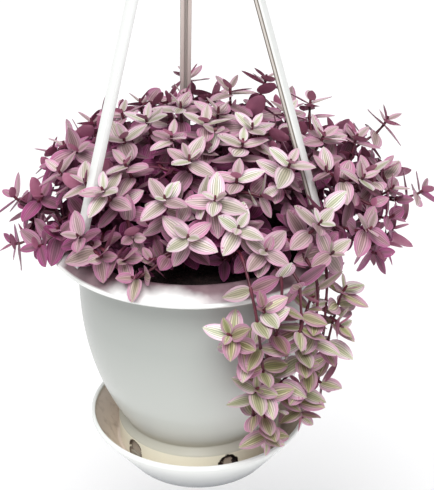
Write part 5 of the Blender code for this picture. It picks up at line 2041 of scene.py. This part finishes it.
stem_piece("mound_stems", with_older(mound), mound_nodes)
bunch_groups = [(shoot, (shoot,)) for shoot in bunch]
stem_piece("trailing_stems", with_older(trailing) + bunch_groups, trailing_nodes)
stem_piece("inner_stems", [(shoot, (shoot,)) for shoot in inner], mound_nodes)
for form in list(form_box.objects):
    bpy.data.objects.remove(form, do_unlink=True)
bpy.data.collections.remove(form_box)

# %% [markdown]
# ## The soil
#
# Dark, fibrous potting soil with a crumbly top. A rough surface could come from
# displacement in the finish, but only real bumps survive in the saved model. So the
# top is a fine disc pushed up and down by noise, and loose crumbs are scattered on
# it afterwards. Behind the drain windows it has washed paler.

# %% Make the soil
def soil_finish():
    material, tree, shader = new_material("dark potting soil", Roughness=0.95)
    dark = ramp(tree, patches(tree, 4.0, 6.0), (0.30, paint(20, 12, 14)), (0.72, paint(62, 46, 44)))
    _, height, turn = round_place(tree)
    more_at_left = between(tree, turn, LEFT_TO, LEFT_FROM, -0.75, 0.0)
    stain = maths(tree, "ADD", washed_soil(tree), more_at_left)
    share = maths(tree, "MULTIPLY", between(tree, stain, 0.34, 0.18), on_foot_band(tree, height))
    base = mixed(tree, share, dark, paint(176, 164, 150))
    tree.links.new(base, shader.inputs["Base Color"])
    grit = add_node(tree, "ShaderNodeBump", (
        ("Strength", 0.8), ("Distance", 0.0010), ("Height", patches(tree, 1.6, 6.0)),
    ))
    tree.links.new(grit.outputs[0], shader.inputs["Normal"])
    return material


SOIL_FINISH = soil_finish()
SOIL_GAP = WALL + CLEAR
TOP_RINGS = 26


def soil_outline():
    foot = FOOT_RADIUS - SOIL_GAP
    edge = BODY_RADIUS - SOIL_GAP
    pocket = STUD_HEAD_RADIUS + 0.0008
    outline = [(0, POT_FLOOR + 0.0045), (pocket, POT_FLOOR + 0.0045), (pocket, POT_FLOOR + CLEAR)]
    outline += [(foot, POT_FLOOR + CLEAR), (foot, FOOT_TOP - 0.001)]
    outline += body_outline(SOIL_GAP)
    radii = [edge * (1 - ring / TOP_RINGS) for ring in range(TOP_RINGS)]
    outline += [(radius, soil_top(radius, 0)) for radius in radii]
    outline.append((0, soil_top(0, 0)))
    return outline


soil_shape = turned(soil_outline(), "soil")
for point in soil_shape.vertices:
    if point.co.z > SOIL_HEIGHT - 0.0005:
        lumps = noise.fractal(point.co * 220, 1.0, 2.0, 4)
        point.co.z += lumps * 0.0010
soil_shape.materials.append(SOIL_FINISH)
finish_piece("soil_body", smooth(soil_shape, 60), "soil", "soil")

# %% [markdown]
# ## Loose crumbs
#
# Crumbs lie on the soil at random. Distribute Points on Faces scatters points over a
# surface from a seed, and a small uneven ball goes on each. The crumbs fall face by
# face, so they need faces that always come in the same order. Spin doesn't promise
# that, and a fan of triangles that is written out does.

# %% Scatter crumbs on the soil
def crumb_tree():
    inputs = (
        ("Surface", "Geometry"), ("Crumbs a square metre", "Float"), ("Smallest", "Float"),
        ("Largest", "Float"), ("Seed", "Int"), ("Finish", "Material"),
    )
    tree = new_tree("Geometry", "crumbs on a surface", inputs, (("Crumbs", "Geometry"),))
    source = add_node(tree, "NodeGroupInput").outputs
    scatter = add_node(tree, "GeometryNodeDistributePointsOnFaces", (
        ("Mesh", source["Surface"]), ("Density", source["Crumbs a square metre"]), ("Seed", source["Seed"]),
    ))
    pebble = add_node(tree, "GeometryNodeMeshIcoSphere", (("Radius", 1.0), ("Subdivisions", 1)))
    size = add_node(tree, "FunctionNodeRandomValue", (
        (2, source["Smallest"]), (3, source["Largest"]), ("Seed", source["Seed"]),
    ))
    spin = add_node(tree, "FunctionNodeRandomValue", (
        (0, (0, 0, 0)), (1, (6.28, 6.28, 6.28)), ("Seed", source["Seed"]),
    ), data_type="FLOAT_VECTOR")
    set_out = add_node(tree, "GeometryNodeInstanceOnPoints", (
        ("Points", scatter.outputs[0]), ("Instance", pebble.outputs[0]),
        ("Rotation", spin.outputs[0]), ("Scale", size.outputs[1]),
    ))
    return end_tree(tree, set_out.outputs[0], source["Finish"])


soil_edge = BODY_RADIUS - SOIL_GAP
fan_points = [Vector((0, 0, soil_top(0, 0)))]
for side in range(SIDES):
    fan_points.append(around(360 * side / SIDES) @ Vector((soil_edge, 0, soil_top(soil_edge, 0))))
fan = bpy.data.meshes.new("soil top")
fan.from_pydata(fan_points, [], [(0, side + 1, (side + 1) % SIDES + 1) for side in range(SIDES)])
crumbs = run_tree(crumb_tree(), fan, {
    "Crumbs a square metre": 110000.0, "Smallest": 0.0005, "Largest": 0.0016, "Seed": 7,
    "Finish": SOIL_FINISH,
})
finish_piece("soil_crumbs", crumbs, "soil", "soil")

# %% [markdown]
# ## Floor and light
#
# A plain pale ground under the basket and one wide soft sun, high at the front left,
# the side where the pot is brightest. A lamp near the basket would leave the far floor
# dark, and a sun lights it all the same.

# %% Add the floor and the lights
scene = bpy.context.scene
scene.view_settings.view_transform = "Standard"
FLOOR_DROP = 0.30

ground = bmesh.new()
bmesh.ops.create_grid(ground, x_segments=1, y_segments=1, size=6.0)
floor_mesh = mesh_from(ground, "floor")
floor_mesh.transform(Matrix.Translation((0, 0, -SEAT_HEIGHT - FLOOR_DROP)))
floor_material = new_material("pale floor", Roughness=0.9, Base_Color=paint(246, 246, 246))[0]
floor_mesh.materials.append(floor_material)
floor = bpy.data.objects.new("floor", floor_mesh)
scene.collection.objects.link(floor)

world = bpy.data.worlds.new("pale room")
scene.world = world
world.use_nodes = True
room = world.node_tree.nodes["Background"]
room.inputs["Color"].default_value = paint(250, 250, 252)
room.inputs["Strength"].default_value = 0.42

SUN_HEIGHT = math.radians(60)
SUN_TURN = math.radians(-98)
sun_data = bpy.data.lights.new("soft sun", "SUN")
sun_data.energy = 3.0
sun_data.angle = math.radians(40)
sun = bpy.data.objects.new("soft sun", sun_data)
sun.rotation_euler = (math.pi / 2 - SUN_HEIGHT, 0, SUN_TURN + math.pi / 2)
scene.collection.objects.link(sun)
print("sun", round(math.degrees(SUN_HEIGHT)), "degrees up, strength", sun_data.energy)

# %% [markdown]
# ## The camera
#
# It looks down at the basket from the front, a little turned. Its place and angles
# come from fitting the rim, the saucer and the arms of the CAD to what the eye sees.

# %% Set the camera
CAMERA_PLACE = Vector((0.0, -0.8212, 0.0727))
LOOK_DOWN = math.radians(27.86)
LOOK_RIGHT = math.radians(0.98)
ROLL = math.radians(-0.47)
LENS = 100.4

camera_data = bpy.data.cameras.new("camera")
camera_data.lens = LENS
camera = bpy.data.objects.new("camera", camera_data)
upright = Matrix.Rotation(-LOOK_RIGHT, 4, "Z") @ Matrix.Rotation(math.pi / 2 - LOOK_DOWN, 4, "X")
facing = upright @ Matrix.Rotation(ROLL, 4, "Z")
camera.matrix_world = Matrix.Translation(CAMERA_PLACE) @ facing
scene.collection.objects.link(camera)
scene.camera = camera
print("camera at", tuple(CAMERA_PLACE), "with a lens of", LENS, "mm")
